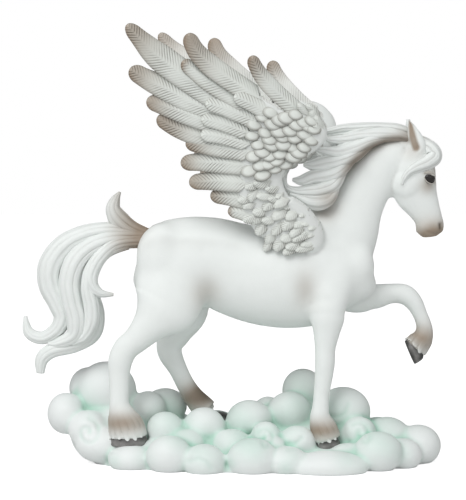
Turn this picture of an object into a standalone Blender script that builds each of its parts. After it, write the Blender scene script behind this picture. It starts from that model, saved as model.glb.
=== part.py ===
"""Pegasus figurine: a winged horse stepping over a bank of cloud, cast in one piece.

Frame: +X towards the horse's nose, +Z up, origin at the middle of the cloud's flat underside.
Tables are in millimetres. The horse's near side, the one usually shown, is -Y.
Every form is a closed shape that overlaps its neighbours. The Remesh modifier skins them as one casting.
"""
import math

import bmesh
import bpy
from mathutils import Matrix, Vector

MM = 0.001
NEAR, FAR = -1, 1
UP = Vector((0, 0, 1))
ACROSS = Vector((0, 1, 0))

# The casting's skin.
BODY_SKIN = 1.5        # coarse voxel of the trunk, which blends its muscles
BODY_SOFTENING_PASSES = 20
CLOUD_SKIN = 1.2
CLOUD_SOFTENING_PASSES = 5
SKIN = 0.85            # voxel of the whole casting
SOFTENING_PASSES = 2
TRIANGLES = 11600
CUTTER_WIDTH = 400     # the block that cuts the underside flat
CUTTER_DEPTH = 100

# Hooves: middle of the sole, axis towards the ground, radius, height.
HOOVES = [
    ((-49.4, -12, 8.6), (0, 0, -1), 9.6, 6), ((45.9, -12.5, 7.8), (0, 0, -1), 5.9, 6),
    ((-8.6, 12, 17), (0, 0, -1), 7.6, 5), ((86.5, 10.5, 51.7), (-0.92, 0, -0.39), 6.2, 4.5),
]

# Wings.
WING_ROOT_OUT = 13.5   # how far the wing's middle surface stands from the midplane at the shoulder
WING_ROOT_Z = 104.0
WING_LEAN = 0.21       # outward travel for each millimetre of height
WING_FLARE = 0.05      # outward travel for each millimetre behind the shoulder
PLATE_MARGIN = 4.0     # how far the plate runs past the coverts on each side
FAR_WING_TURN = 5.3    # degrees that the far wing is raised further forward
FAR_WING_SIZE = 0.975
WRIST_HALF = 2.6       # half thickness of the wing's two thick bends
SHOULDER_HALF = 4.4
SEEN_FROM = 900.0      # the wing's tables are a side view seen from this far away
EYE_Z = 155.0
TOP_SQUEEZE = 0.977    # and slightly from above, which stretches what is higher than the eye
FEATHER_THICKNESS = 2.6
FEATHER_ROLL = 9.0     # degrees that each long feather leans over the next
TAPER = 1.5            # length of a feather's rounded tip, in widths
FEATHER_STEP = 0.5     # how far every other long feather stands out
MIDDLE_THICKNESS = 2.6
MIDDLE_LIFTS = (1.6, 1.8)      # of the middle feathers: at the root, at the tip
COVERT_LIFT = 1.0      # how far a covert's tip stands off the plate
COVERT_SINK = 1.2      # and how deep its root lies in it
COVERT_THICKNESS = 1.9
SCALE_LENGTH = 3.7     # from a scale's middle to its tip
SCALE_ROOT = 6.0       # and back to its root
SCALE_WIDTH = 6.6
ROOT_MARGIN = 2.5      # how far a root may lie in front of the arm's middle

# Trunk: x, top, bottom, half width.
TRUNK = [
    (-45.5, 106, 88, 6), (-43, 110.8, 82, 10.5), (-36, 114.6, 76, 14.5), (-28, 117.4, 75, 16.6),
    (-18, 118.7, 75, 17.2), (-8, 118, 75, 16.4), (2, 115.8, 70.2, 16.4), (14, 114, 66, 17.4),
    (26, 115, 64.3, 17.6), (36, 118.5, 65, 16.6), (46, 119, 68, 15.6), (56, 110, 72, 13),
    (63, 101.5, 77.5, 10.6), (67.8, 96.5, 85.5, 6.6),
]

# Limbs and neck: x, y, z, half depth in the side view, half width.
NECK = [
    (38, 0, 84, 21, 13.5), (46, 0, 97.5, 20.4, 13), (54, 0, 111, 17, 10.8), (59.8, 0, 124.5, 13.6, 8.2),
    (66.5, 0, 136, 12.4, 6.9), (74.5, 0, 145, 11.4, 6.5), (83, 0, 149.5, 8, 6),
]
HEAD = [
    (84, 0, 154, 4.5, 4.2), (86.6, 0, 149, 9, 6.4), (86.4, 0, 142, 11, 7.3), (86.6, 0, 136, 11.2, 7.2),
    (88.4, 0, 129.5, 10.4, 6.2), (91.7, 0, 123, 8.1, 4.9), (94.2, 0, 117.6, 6.7, 4.3),
    (95, 0, 113.6, 6.8, 4.9), (95, 0, 110.6, 5.6, 4.3), (95.2, 0, 108.6, 3.2, 2.4),
]
NEAR_HIND_LEG = [
    (-27, -6, 99, 17.5, 9.5), (-28.5, -8.5, 87, 17.3, 9.5), (-31.6, -10.5, 76.5, 16.4, 9),
    (-38.8, -11.5, 67.5, 9.2, 7.3), (-45.5, -12, 60.3, 6.5, 5.7), (-50.5, -12, 56, 6.1, 5),
    (-53, -12, 50.5, 5.9, 4.8), (-53.6, -12, 44, 5.1, 4.2), (-53.7, -12, 36, 4.7, 3.8),
    (-53.7, -12, 30, 4.7, 4), (-53, -12, 26, 5.9, 5), (-51.6, -12, 20.5, 7.8, 6.8),
    (-49.8, -12, 16, 9.2, 8), (-49.5, -12, 13.4, 9.4, 8.2),
]
NEAR_FORE_LEG = [
    (49, -7, 97, 13.5, 8), (47.5, -9.5, 86, 11, 7.6), (45.7, -11.5, 77, 9.3, 6.9),
    (45.4, -12.3, 71, 8.2, 6.2), (44.9, -12.5, 63.5, 6.4, 5.2), (44.3, -12.5, 56, 5, 4.5),
    (44.2, -12.5, 49, 4.8, 4.6), (43.6, -12.5, 42.5, 4.4, 3.9), (42.7, -12.5, 35, 3.9, 3.5),
    (42.2, -12.5, 28.5, 4, 3.7), (41.9, -12.5, 23, 4.9, 4.7), (43.2, -12.5, 18.5, 6.2, 5.7),
    (45, -12.5, 14.5, 6.6, 6.3), (45.6, -12.5, 12.6, 6.2, 6),
]
FAR_HIND_LEG = [
    (-26, 6, 98, 16.5, 9.5), (-23, 8.5, 85, 14.5, 9.3), (-23, 10.5, 72.5, 11.5, 8.3),
    (-27.4, 11.5, 62, 8.2, 6.4), (-30.4, 12, 55.5, 6.6, 5.1), (-30, 12, 50.5, 5.9, 4.7),
    (-26.4, 12, 43.3, 4.6, 4.1), (-22.8, 12, 36, 4.5, 3.8), (-19, 12, 30, 5, 4.7),
    (-15.6, 12, 26, 5.7, 5.6), (-13, 12, 23, 6.4, 6.2),
]
FAR_FORE_LEG = [
    (50, 7, 93, 13.5, 8), (55, 9, 83, 11, 7.6), (61.5, 10, 78.4, 8.2, 6.5), (69.5, 10.5, 79, 6.1, 5.4),
    (77.5, 10.5, 80.5, 4.9, 4.6), (84, 10.5, 80, 5, 4.8), (88.4, 10.5, 76.3, 4.4, 4.4),
    (91.6, 10.5, 70.3, 3.6, 3.4), (93.6, 10.5, 64.6, 3.9, 3.6), (93.4, 10.5, 60.2, 4.8, 4.4),
    (91.4, 10.5, 56.6, 5.8, 5.1), (89.2, 10.5, 54, 6.1, 5.6),
]
LEGS = (NEAR_HIND_LEG, FAR_HIND_LEG, NEAR_FORE_LEG, FAR_FORE_LEG)
THICK_STATIONS = 6     # the part of each leg that melts into the trunk
LOWER_STARTS = (1, 1, 2, 2)    # where each leg's outer skin begins
NARROWED = 0.7         # a narrower first ring, which lies inside the trunk
EAR = [(89, 4.2, 148, 2.6, 2.2), (88.8, 4.6, 151.4, 4.1, 2.8), (87.4, 5, 155.6, 3.8, 2.6),
       (85.9, 5.2, 159.6, 2.6, 2), (84.7, 5.4, 162.8, 1.5, 1.2), (84, 5.4, 165.2, 0.6, 0.6)]

# Soft masses: centre, half sizes. The trunk's melt into it, and the head's lie on it.
MUSCLES = [
    ((-33, -8, 100), (13, 9, 16)), ((-33, 8, 100), (13, 9, 16)),
    ((58, -6, 95), (10.5, 7.5, 12)), ((58, 6, 93), (10.5, 7.5, 12)),
    ((38, -6, 108), (15, 9, 14)), ((38, 6, 108), (15, 9, 14)),
]
CHEEKS = [
    ((84.5, -2.6, 135), (8.5, 5.2, 9)), ((84.5, 2.6, 135), (8.5, 5.2, 9)),
    ((93.6, -4.4, 138.2), (3.4, 2.6, 3.4)), ((93.6, 4.4, 138.2), (3.4, 2.6, 3.4)),
    ((75.4, 0, 131.8), (4.6, 4.8, 4.4)), ((81, 0, 153), (5, 4.6, 3.6)),
]

# Hair: x, y, z, half depth, half width along each lock.
TAIL = {
    "tuft": [(-40, 0, 109, 3.5, 4), (-48, 0, 112.2, 4.2, 4.6), (-54, -0.5, 116.6, 4.9, 4.6),
             (-56.8, -1, 122, 3.8, 3.8), (-55.8, -1, 126.5, 2.4, 2.6), (-53.6, -1, 130.2, 0.6, 0.6)],
    "outer": [(-40, 0, 108.5, 4, 4.5), (-55, 0, 111.5, 4.2, 5.2), (-68, 0, 110.3, 4.8, 6),
              (-79.6, 0, 104.8, 5.8, 6.4), (-86.6, 0.5, 95.4, 6.4, 6.6), (-87.4, 1, 86, 6, 6.4),
              (-83.8, 1, 77, 5.2, 6), (-81.6, 1, 70, 4.6, 5.4), (-84.6, 1, 63.8, 3.8, 4.6),
              (-91.6, 1, 59.8, 3.2, 3.8), (-98, 1, 62.6, 2.7, 2.8), (-99.6, 1, 70.4, 0.9, 0.9)],
    "middle": [(-40, -1, 107.5, 4, 4.5), (-55, -2, 108, 4.4, 5), (-66, -3, 105, 5, 5.4),
               (-74, -4, 98, 5.4, 5.6), (-77.6, -4, 88, 5.4, 5.6), (-76.6, -3.5, 78, 5.2, 5.4),
               (-74.6, -3, 69, 5, 5), (-76, -2, 61.4, 4, 4.4), (-84, -1, 57.4, 2.6, 3),
               (-88.6, -1, 57.2, 1.2, 1.4)],
    "long": [(-40, 1, 107, 4, 4.5), (-56, 2, 106, 4.2, 5), (-66, 3, 99.4, 4.6, 5.6), (-70.4, 4, 90, 5, 6),
             (-69.4, 4, 80, 5.4, 6), (-66.8, 3, 71, 5.4, 5.4), (-68.2, 2, 62.4, 5.2, 4.8),
             (-76, 1, 56.8, 4.2, 4), (-86.4, 0, 54, 3.8, 3.4), (-91.6, 0, 49.6, 3.4, 3),
             (-92.4, 0, 42.8, 2, 1.8)],
    "between": [(-50, -3, 105.6, 3, 3.8), (-60, -4, 102, 3.4, 4.4), (-67, -5, 94, 3.6, 4.4),
                (-69, -5, 85, 3.6, 4.4), (-67.4, -4.4, 76, 4, 4.4), (-67.4, -3.6, 68, 3.8, 4.2),
                (-71, -2.6, 61, 3, 3.4), (-77, -2, 57.6, 1.6, 2)],
    "inner": [(-40, -2, 106.8, 3.4, 4), (-54, -4, 106, 3.4, 3.8), (-62.4, -5.5, 100, 3.6, 3.8),
              (-67, -6, 92, 3.8, 3.8), (-67, -6, 86, 3.4, 3.4), (-63, -5.5, 82, 2.2, 2.4),
              (-56.6, -5, 81.2, 0.8, 0.8)],
}
MANE = {
    "mass": [(84, 0, 157.4, 2.6, 3.6), (76, -0.5, 158.4, 3.6, 5), (68, -1.5, 157.4, 4.8, 6.4),
             (60, -3, 154.4, 6.2, 6.6), (53, -5, 149.6, 6.6, 6.4), (47.6, -7, 142.6, 5.6, 6),
             (44.4, -8.4, 135.4, 5.2, 5.4), (42.6, -9.4, 129, 4.8, 4.6), (41, -10, 125.6, 3.2, 3)],
    "crest": [(88, 0, 156.4, 2.6, 3), (80, 0, 159.6, 3.2, 4.4), (70, -0.4, 161, 2.6, 4.6),
              (60, -1, 160.8, 2.6, 4.4), (53, -2, 160.6, 2.2, 3.6), (47.5, -3, 159.6, 1.8, 2.4),
              (42.5, -3, 158.4, 1.4, 2)],
    "veil": [(70, 0, 158.5, 2.4, 4), (60, 0, 158, 2.6, 4.4), (52, -1, 157.6, 2.6, 3.6),
             (45, -2, 156.8, 2, 2.4)],
    "fall": [(82, -2.5, 156.6, 2.4, 3), (72, -4.4, 157, 3.2, 3.6), (62, -6, 156.6, 3, 3.6),
             (54, -7.5, 155.2, 2.8, 3.2), (47.6, -8.6, 155, 1.8, 2), (44.6, -9, 155.4, 0.9, 0.9)],
    "fold": [(77, -2.5, 156.4, 1, 1.4), (66, -6.5, 154.4, 3, 3.6), (58, -8.4, 151, 3.8, 4),
             (50.6, -10, 149, 3.4, 3.6), (44, -10.8, 149.8, 2.2, 2.4), (39.4, -11, 150.6, 0.9, 0.9)],
    "sweep": [(68, -4.5, 153.6, 1, 1.6), (58, -8.8, 147.6, 3.4, 3.8), (51, -10.2, 145.2, 3.6, 3.8),
              (44, -11.2, 145, 3.2, 2.8), (38.6, -11.8, 144.9, 2.4, 2), (34.2, -12, 143.9, 0.9, 0.9)],
    "curl": [(60, -6.5, 148, 1, 1.6), (51.6, -10.2, 141, 3.4, 3.8), (45.4, -11.4, 138.6, 3.8, 3.6),
             (38.6, -12, 136.8, 2.6, 2.8), (33, -12.6, 136, 1.4, 1.6), (29.2, -12.8, 136.4, 0.9, 0.9)],
    "low": [(54.6, -7.5, 142.5, 1, 1.6), (48.8, -10.8, 134.6, 3.4, 3.8), (42.6, -12, 131.6, 4, 3.8),
            (36.4, -12.8, 130.8, 3.2, 3.2), (30, -13.6, 131, 2.2, 2.4), (25.6, -14.4, 133, 1.5, 1.6),
            (24.2, -14.8, 138, 0.9, 0.9)],
    "under": [(51, -8, 137, 1, 1.6), (47, -10.6, 129, 3.2, 3.6), (42.2, -11.6, 126.2, 4.4, 4),
              (36.4, -12.4, 126.2, 4.2, 3.8), (31, -13, 128.4, 2.4, 2.8), (27, -13.4, 129.6, 1.8, 2.2)],
    "back": [(80, 2.5, 157, 3, 3.2), (68, 4.6, 155, 4.2, 3.8), (58, 6.4, 150.6, 4.6, 4),
             (50.6, 8, 147.4, 4, 3.8), (44.6, 9, 147.4, 2.4, 2.4), (41, 9.4, 149, 0.9, 0.9)],
    "back_low": [(64, 5.4, 149.5, 3, 3), (55.6, 7.4, 142.4, 4.4, 3.8), (49, 9, 135.4, 4.6, 3.8),
                 (43.6, 10.4, 131.4, 3, 2.8), (39.6, 11, 132, 0.9, 0.9)],
    "poll": [(84, 0, 156.6, 2.6, 4), (89.5, 0, 155, 2.6, 5), (94, 0, 152.4, 3, 5.4), (96, 0, 148, 3, 5)],
    "forelock": [(90, -0.5, 153.5, 2.6, 4.4), (94.2, -1.6, 151.2, 4, 5), (96, -3, 147.4, 4.4, 4.8),
                 (93, -5, 144.6, 3.8, 3.8), (88.6, -6.6, 142.6, 3, 2.8), (84.6, -7.6, 140.4, 2, 2),
                 (82, -7.8, 137.4, 1.4, 1.4), (80.8, -7.4, 134, 0.8, 0.8)],
    "forelock_far": [(90, 1, 154, 2.4, 3), (94.6, 2.4, 151, 3.6, 3.8), (95.6, 4.6, 146.8, 3.8, 3),
                     (91.6, 6.4, 143.6, 2.8, 2.2), (87, 7.2, 141, 1.7, 1.6), (84.4, 7.2, 137.6, 0.8, 0.8)],
}

# The wing as drawn from the side: x, z along the arm from shoulder to wrist.
ARM = [(33, 105), (37, 109.6), (34.5, 116), (28.5, 122), (23, 128.5), (20.5, 136), (23, 143), (29, 148),
       (36.5, 152.5), (44, 158)]
WRIST = [(27, 146, 3), (34, 152, 5), (39.4, 158, 6), (38.6, 164.6, 4.4), (33, 169, 2.4)]
SHOULDER = [(27, 126.5, 2.6), (32.4, 120.4, 4.8), (36.4, 113, 6.4), (38.4, 107, 6), (36, 103, 3.4)]
# How far the coverts reach from the arm, and the way they point: share of the arm, reach, direction.
FAN = [(0, 11, (-0.99, -0.02)), (0.2, 21, (-0.96, -0.2)), (0.4, 18, (-0.98, -0.17)), (0.55, 13, (-1, 0)),
       (0.7, 16, (-0.98, 0.15)), (0.85, 26, (-0.92, 0.4)), (1, 31, (-0.87, 0.5))]
# Half thickness of the plate under the coverts, at shares of the arm.
PLATE = [(0, 5.2), (0.3, 3.4), (1, 2.4)]
# Long feathers: x, z from tip to root, then the width.
LONG_FEATHERS = [
    ([(-50.2, 211.4), (-43, 203.6), (-36, 196.8), (-25, 188.4), (-10, 178), (10, 166)], 13),
    ([(-23.8, 193.4), (-15, 186.4), (-5, 179.8), (10, 171)], 10),
    ([(-21.3, 206.9), (-17, 198.4), (-10, 191.4), (0, 184), (14, 174.4)], 10.6),
    ([(9, 196), (13, 188), (20, 179.6), (30, 170.4), (38, 163)], 8.6),
    ([(-48.9, 189.8), (-41, 185), (-31, 180), (-18, 173.2), (2, 164)], 11.4),
    ([(-40.8, 174.5), (-32, 171.6), (-22, 168.4), (-10, 164), (6, 158.4)], 10.8),
    ([(-35.7, 166.4), (-28, 161.8), (-20, 158.8), (-10, 156.4), (6, 153)], 10.2),
    ([(-22.2, 153.6), (-12, 152.4), (0, 151), (11, 149)], 10),
    ([(-24.6, 143.9), (-15, 144.6), (-5, 144.4), (9, 143)], 10.6),
    ([(-20.6, 134.7), (-12, 135.4), (-3, 135.6), (9, 135)], 10.4),
    ([(-10.4, 128.5), (-3, 128), (5, 127), (14, 125)], 10.2),
    ([(-2, 121.2), (4, 120.4), (15, 117.6)], 9),
]
FRONT_FEATHERS = (1, 2, 3)     # these lean the other way and lie on top
# What differs on the far wing: long feathers by their place in the list, and the wrist.
FAR_FEATHERS = {
    0: ([(-49.6, 207.2), (-43.6, 200.8), (-36, 194.6), (-25, 187), (-10, 177.2), (10, 166)], 12),
    3: ([(11, 197.4), (14, 190.5), (19.6, 183), (28, 175.5), (38.4, 168)], 10),
}
FAR_WRIST = [(27, 146, 3), (35, 152, 5.6), (41, 158.5, 6.4), (41.4, 165.5, 6), (37.5, 171.2, 5),
             (31.5, 173.8, 4), (26, 175.6, 2)]
MIDDLE_FEATHERS = [
    ([(1, 176.6), (8, 173.4), (20, 167)], 7.6), ([(-12.6, 173), (-3, 170.6), (12, 164)], 8),
    ([(-14.6, 165.4), (-5, 163.4), (9, 158)], 7.6), ([(-15, 157.6), (-6, 157), (9, 153)], 7.6),
]
# Small coverts: x, z of each scale's middle.
SCALES = [
    (18.4, 168.4), (25.8, 165.8), (34.2, 163.5), (14.6, 166.2), (10.6, 162.6), (19.4, 162.7), (9.7, 157.2),
    (15.9, 158.4),
    (22.4, 159), (27.8, 159.6), (24, 156.2), (30, 156), (34.6, 158), (18, 155.2), (12.6, 152.7),
    (19, 152.4),
    (24.6, 152.8), (28.9, 151.6), (34.4, 151.6), (10.6, 147.4), (14.6, 149.2), (18, 147.2), (23, 148.4),
    (29.4, 147), (13.6, 143), (20.6, 141.4), (25.4, 143.6), (8.4, 140.4), (37.6, 155), (39, 160.4),
    (31, 162.4),
    (22.6, 164.6), (30.4, 167.4), (36.4, 161.6), (14.6, 138.4), (17.4, 143.6), (38, 164.4), (21.4, 145.2),
    (32, 149),
]
# Ruffled tufts lower down: x, z of the middle, way the tip points in degrees (180 is back), length, width.
RUFFLES = [
    (9.2, 133.6, 205, 7, 5.6), (14, 135.2, 188, 8, 5.6), (10.4, 128.2, 240, 6.4, 4.8),
    (15.6, 128.6, 186, 8, 5.2),
    (12.9, 121.9, 205, 7, 6), (18, 123.6, 215, 7.4, 5.8), (8.8, 118, 205, 8, 5.6),
    (17.2, 117.7, 195, 6.4, 5.4),
    (22.8, 119.2, 215, 8, 6), (13.8, 112.6, 235, 7.4, 5.6), (21, 112.8, 240, 7, 5.4),
    (27, 114.4, 225, 7.4, 6),
    (18.2, 108.2, 240, 6.6, 5.4), (25.9, 109.4, 215, 6.8, 6.2), (23.2, 104.6, 225, 7.4, 5.4),
    (19.6, 132.4, 190, 8, 5.6),
    (20.4, 128, 195, 7, 5), (23.4, 124.4, 210, 7, 5), (28.4, 119.4, 220, 7, 5.4),
    (29.6, 105.6, 205, 9, 4.6),
    (33.6, 108.6, 200, 10, 4.2), (34.4, 103.6, 195, 9, 4), (38.8, 106.2, 200, 10, 3.8),
    (31, 111, 215, 8, 4.4),
    (27.4, 102.4, 205, 7, 4), (40.4, 110.4, 200, 8, 3.6), (8, 123.4, 200, 6, 5), (5.4, 126.8, 190, 6, 4.6),
    (16.6, 104.6, 235, 5.6, 4.4), (12.4, 116.6, 215, 6.4, 5),
]

# Cloud: centre, half sizes of the mound under the billows, then of each billow.
MOUND = [
    ((9, 1, -1), (76, 33, 12)), ((-58, 10, 12), (21, 19, 16)), ((42, 10, 8), (34, 22, 12)), ((-18, 8, 6),
    (34, 26, 13)),
    ((72, 2, 3), (22, 22, 11)), ((28, 14, 14), (24, 16, 14)),
]
CLOUD = [
    ((-62, -6, 9.5), (13.4, 11, 9.4)), ((-48, -18, 4), (11, 9.6, 7)), ((-29.5, -25.4, 7), (11, 10, 9.6)),
    ((-13, -29, 4.6), (10, 9.6, 8.6)), ((9.6, -29, 6), (12, 10.4, 10)), ((26, -28.6, 4.4), (10, 9.6, 7.6)),
    ((45, -30, 2.4), (19, 11, 7.6)), ((69, -22, 7.8), (11.6, 11, 10.2)), ((81, -14, 5.4), (9.6, 10, 8)),
    ((90, -1, 8), (11, 12, 10)), ((75, 2, 10.6), (12, 12, 10.8)), ((-69, -3, 16), (10, 9, 9.4)),
    ((-80.6, 5, 22.6), (9.2, 10, 10.2)), ((-61.6, 14, 32), (15, 13.6, 15)), ((-70.6, 17, 33.4),
    (9.6, 9, 10.4)),
    ((-41, 9, 24), (9, 10, 9)), ((-33, 20, 24), (11, 10, 9)), ((-32, -8, 17), (9, 9, 8.4)),
    ((-13.4, -5, 17.4), (10.4, 10, 9.6)), ((8.4, 2, 19), (11.6, 11, 10.6)), ((16, -14, 15), (7, 7, 6.6)),
    ((31, -14, 11.6), (9, 8, 8)), ((28, 7, 22.6), (11, 11, 10.4)), ((35, 21, 31.6), (10.4, 10.4, 11)),
    ((54, 5, 23.6), (13.4, 12, 12)), ((17.6, 16, 22), (7.6, 8, 7.4)), ((61, -9, 16), (8, 8, 7)),
    ((-10, 15, 11), (13, 12, 10.6)), ((-48, 28, 13), (15, 12.4, 13)), ((-64, 25, 14), (13.4, 12.4, 14)),
    ((-28, 33, 9), (12, 10, 10)), ((-8, 33, 9.6), (12.6, 10.4, 10.6)), ((14, 33, 10), (12.6, 10.4, 11)),
    ((36, 32, 11), (13.6, 10.6, 12)), ((56, 26, 11), (13, 11.4, 11)), ((72, 18, 9), (12, 11, 10)),
    ((-50, -4, 4), (14, 12, 7)), ((44, -12, 3), (15, 13, 6.4)),
    ((60, -2, 11), (13, 12, 10)), ((-36, -13, 6), (9, 9, 7)), ((0, -14, 9), (10, 9, 9)), ((18, -20, 8),
    (9, 8, 8)),
    ((55, -19, 5), (10, 8, 7)), ((-22, -14, 9), (10, 9, 9)),
]


def v3(point):
    """A point of the tables, in metres."""
    return Vector(point) * MM


def spline(rows, share):
    """Catmull-Rom through rows of equal length, share from 0 to 1."""
    last = len(rows) - 1
    at = min(share * last, last - 1e-9)
    k, t = int(at), at - int(at)
    p0, p1, p2, p3 = (rows[min(max(k + n, 0), last)] for n in (-1, 0, 1, 2))
    return [
        0.5 * (2 * b + (c - a) * t + (2 * a - 5 * b + 4 * c - d) * t * t + (3 * b - a - 3 * c + d) * t ** 3)
        for a, b, c, d in zip(p0, p1, p2, p3)
    ]


def oval(centre, a, b, sides):
    """A ring of points round centre, with a and b as its half axes."""
    turn = 2 * math.pi / sides
    return [centre + a * math.cos(k * turn) + b * math.sin(k * turn) for k in range(sides)]


def skin(name, rings):
    """A closed mesh through rings that hold the same number of points."""
    mesh = bmesh.new()
    rows = [[mesh.verts.new(p) for p in ring] for ring in rings]
    for low, high in zip(rows, rows[1:]):
        for k in range(len(low)):
            n = (k + 1) % len(low)
            mesh.faces.new((low[k], low[n], high[n], high[k]))
    mesh.faces.new(reversed(rows[0]))
    mesh.faces.new(rows[-1])
    bmesh.ops.recalc_face_normals(mesh, faces=mesh.faces)
    data = bpy.data.meshes.new(name)
    mesh.to_mesh(data)
    mesh.free()
    return data


def limb(name, stations, sides=20, steps=4, across=ACROSS):
    """A loft along stations of x, y, z, half depth, half width."""
    count = (len(stations) - 1) * steps
    rows = [spline(stations, k / count) for k in range(count + 1)]
    points = [v3(row[:3]) for row in rows]
    rings = []
    for k, row in enumerate(rows):
        along = (points[min(k + 1, count)] - points[max(k - 1, 0)]).normalized()
        wide = (across - along * across.dot(along)).normalized()
        deep = wide.cross(along)
        rings.append(oval(points[k], deep * max(row[3], 0.2) * MM, wide * max(row[4], 0.2) * MM, sides))
    return skin(name, rings)


def trunk():
    stations = [(x, 0, (top + bottom) / 2, (top - bottom) / 2, half) for x, top, bottom, half in TRUNK]
    return limb("trunk", stations, sides=32)


def ball(name, centre, sizes, segments=20, rings=12):
    mesh = bmesh.new()
    place = Matrix.Translation(v3(centre)) @ Matrix.Diagonal((*v3(sizes), 1))
    bmesh.ops.create_uvsphere(mesh, u_segments=segments, v_segments=rings, radius=1, matrix=place)
    data = bpy.data.meshes.new(name)
    mesh.to_mesh(data)
    mesh.free()
    return data


def hoof(name, centre, along, radius, height):
    """A hoof: a short cone, wider at its sole, centred on the sole."""
    axis = Vector(along).normalized()
    deep = axis.cross(ACROSS).normalized()
    rings = []
    for share, spread in ((0, 1), (0.5, 0.95), (1, 0.86)):
        middle = v3(centre) - axis * height * share * MM
        rings.append(oval(middle, deep * radius * spread * MM, ACROSS * radius * 0.9 * spread * MM, 24))
    return skin(name, rings)


def wing_point(x, z, lift=0.0):
    """A point of the near wing's middle surface, lifted outwards. What is drawn from nearby is too large."""
    out = WING_ROOT_OUT + WING_LEAN * (z - WING_ROOT_Z) + WING_FLARE * max(0.0, 33 - x)
    shrink = 1 - out / SEEN_FROM
    rise = (z - EYE_Z) * shrink
    if rise > 0:
        rise *= TOP_SQUEEZE
    return v3((x * shrink, -out - lift, EYE_Z + rise))


def feather(name, outline, width, lift_root, lift_tip, roll, thickness=FEATHER_THICKNESS, sides=10):
    """One vane: outline runs from the tip to the root in the side view."""
    count = 12
    rings = []
    points = []
    length = (Vector(outline[0]) - Vector(outline[-1])).length
    taper = min(0.7, TAPER * width / length)
    for k in range(count + 1):
        share = (k / count) ** 1.5
        x, z = spline(outline, share)
        points.append(wing_point(x, z, lift_tip + (lift_root - lift_tip) * share))
    outwards = (ACROSS * NEAR + UP * WING_LEAN).normalized()
    for k, point in enumerate(points):
        share = (k / count) ** 1.5
        along = (points[min(k + 1, count)] - points[max(k - 1, 0)]).normalized()
        normal = (outwards - along * outwards.dot(along)).normalized()
        wide = normal.cross(along)
        turned = Matrix.Rotation(math.radians(roll), 3, along)
        normal, wide = turned @ normal, turned @ wide
        rounding = math.sqrt(1 - (1 - min(1.0, share / taper + 0.02)) ** 2)
        half = width / 2 * rounding * (1 - 0.25 * max(0, share - 0.5))
        thick = thickness / 2 * (0.45 + 0.55 * rounding) * (0.7 + 0.3 * share)
        rings.append(oval(point, wide * half * MM, normal * thick * MM, sides))
    return skin(name, rings)


def fan_at(share):
    """Reach and direction of the coverts at a share of the arm."""
    for (s0, r0, d0), (s1, r1, d1) in zip(FAN, FAN[1:]):
        if share <= s1 + 1e-9:
            t = (share - s0) / (s1 - s0)
            return r0 + (r1 - r0) * t, [a + (b - a) * t for a, b in zip(d0, d1)]
    return FAN[-1][1:]


def plate_thickness(share):
    """Half thickness of the plate at a share of the arm."""
    for (s0, t0), (s1, t1) in zip(PLATE, PLATE[1:]):
        if share <= s1 + 1e-9:
            return t0 + (t1 - t0) * (share - s0) / (s1 - s0)
    return PLATE[-1][1]


def wing_plate():
    """The solid of the wing under its coverts."""
    rings = []
    count = 24
    outwards = (ACROSS * NEAR + UP * WING_LEAN).normalized()
    for k in range(count + 1):
        share = k / count
        x, z = spline(ARM, share)
        reach, (dx, dz) = fan_at(share)
        front = wing_point(x - dx * PLATE_MARGIN, z - dz * PLATE_MARGIN)
        back = wing_point(x + dx * (reach + PLATE_MARGIN), z + dz * (reach + PLATE_MARGIN))
        rings.append(oval((front + back) / 2, (back - front) / 2, outwards * plate_thickness(share) * MM, 20))
    return skin("wing_plate", rings)


def arm_place(x, z):
    """The share of the arm that a covert springs from, and how far out it lies."""
    best, found = math.inf, (0, 0)
    for k in range(61):
        share = k / 60
        ax, az = spline(ARM, share)
        _, (dx, dz) = fan_at(share)
        out = (x - ax) * dx + (z - az) * dz
        miss = math.hypot(x - ax - dx * out, z - az - dz * out) + 2 * max(0, -out - PLATE_MARGIN)
        if miss < best:
            best, found = miss, (share, out)
    return found


def plate_height(share, out):
    """How far the plate's face stands from its middle, at a distance from the arm."""
    reach, _ = fan_at(share)
    where = (out - reach / 2) / (reach / 2 + PLATE_MARGIN)
    return plate_thickness(share) * math.sqrt(max(0, 1 - where * where))


def wing_limb(name, stations, half_thickness):
    """A thick bend of the wing: stations of x, z, half depth."""
    return limb(name, [(*wing_point(x, z) / MM, half, half_thickness) for x, z, half in stations], sides=12)


def covert(x, z, way, ahead, behind, width):
    """A small feather round x, z on both faces of the plate, pointing along way."""
    share, out = arm_place(x, z)
    behind = min(behind, out + ROOT_MARGIN)
    tip = (x + way[0] * ahead, z + way[1] * ahead)
    root = (x - way[0] * behind, z - way[1] * behind)
    high = plate_height(share, out + ahead) + COVERT_LIFT
    low = plate_height(share, out - behind) - COVERT_SINK
    high = max(high, COVERT_THICKNESS + COVERT_LIFT / 2)
    return [
        feather("covert", [tip, (x, z), root], width, side * low, side * high, 0, COVERT_THICKNESS, 8)
        for side in (1, -1)
    ]


def coverts():
    """Scales along the arm, and ruffled tufts below them."""
    made = []
    for x, z in SCALES:
        _, way = fan_at(arm_place(x, z)[0])
        made += covert(x, z, way, SCALE_LENGTH, SCALE_ROOT, SCALE_WIDTH)
    for x, z, turn, length, width in RUFFLES:
        way = (math.cos(math.radians(turn)), math.sin(math.radians(turn)))
        made += covert(x, z, way, length * 0.5, length * 0.75, width)
    return made


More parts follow.
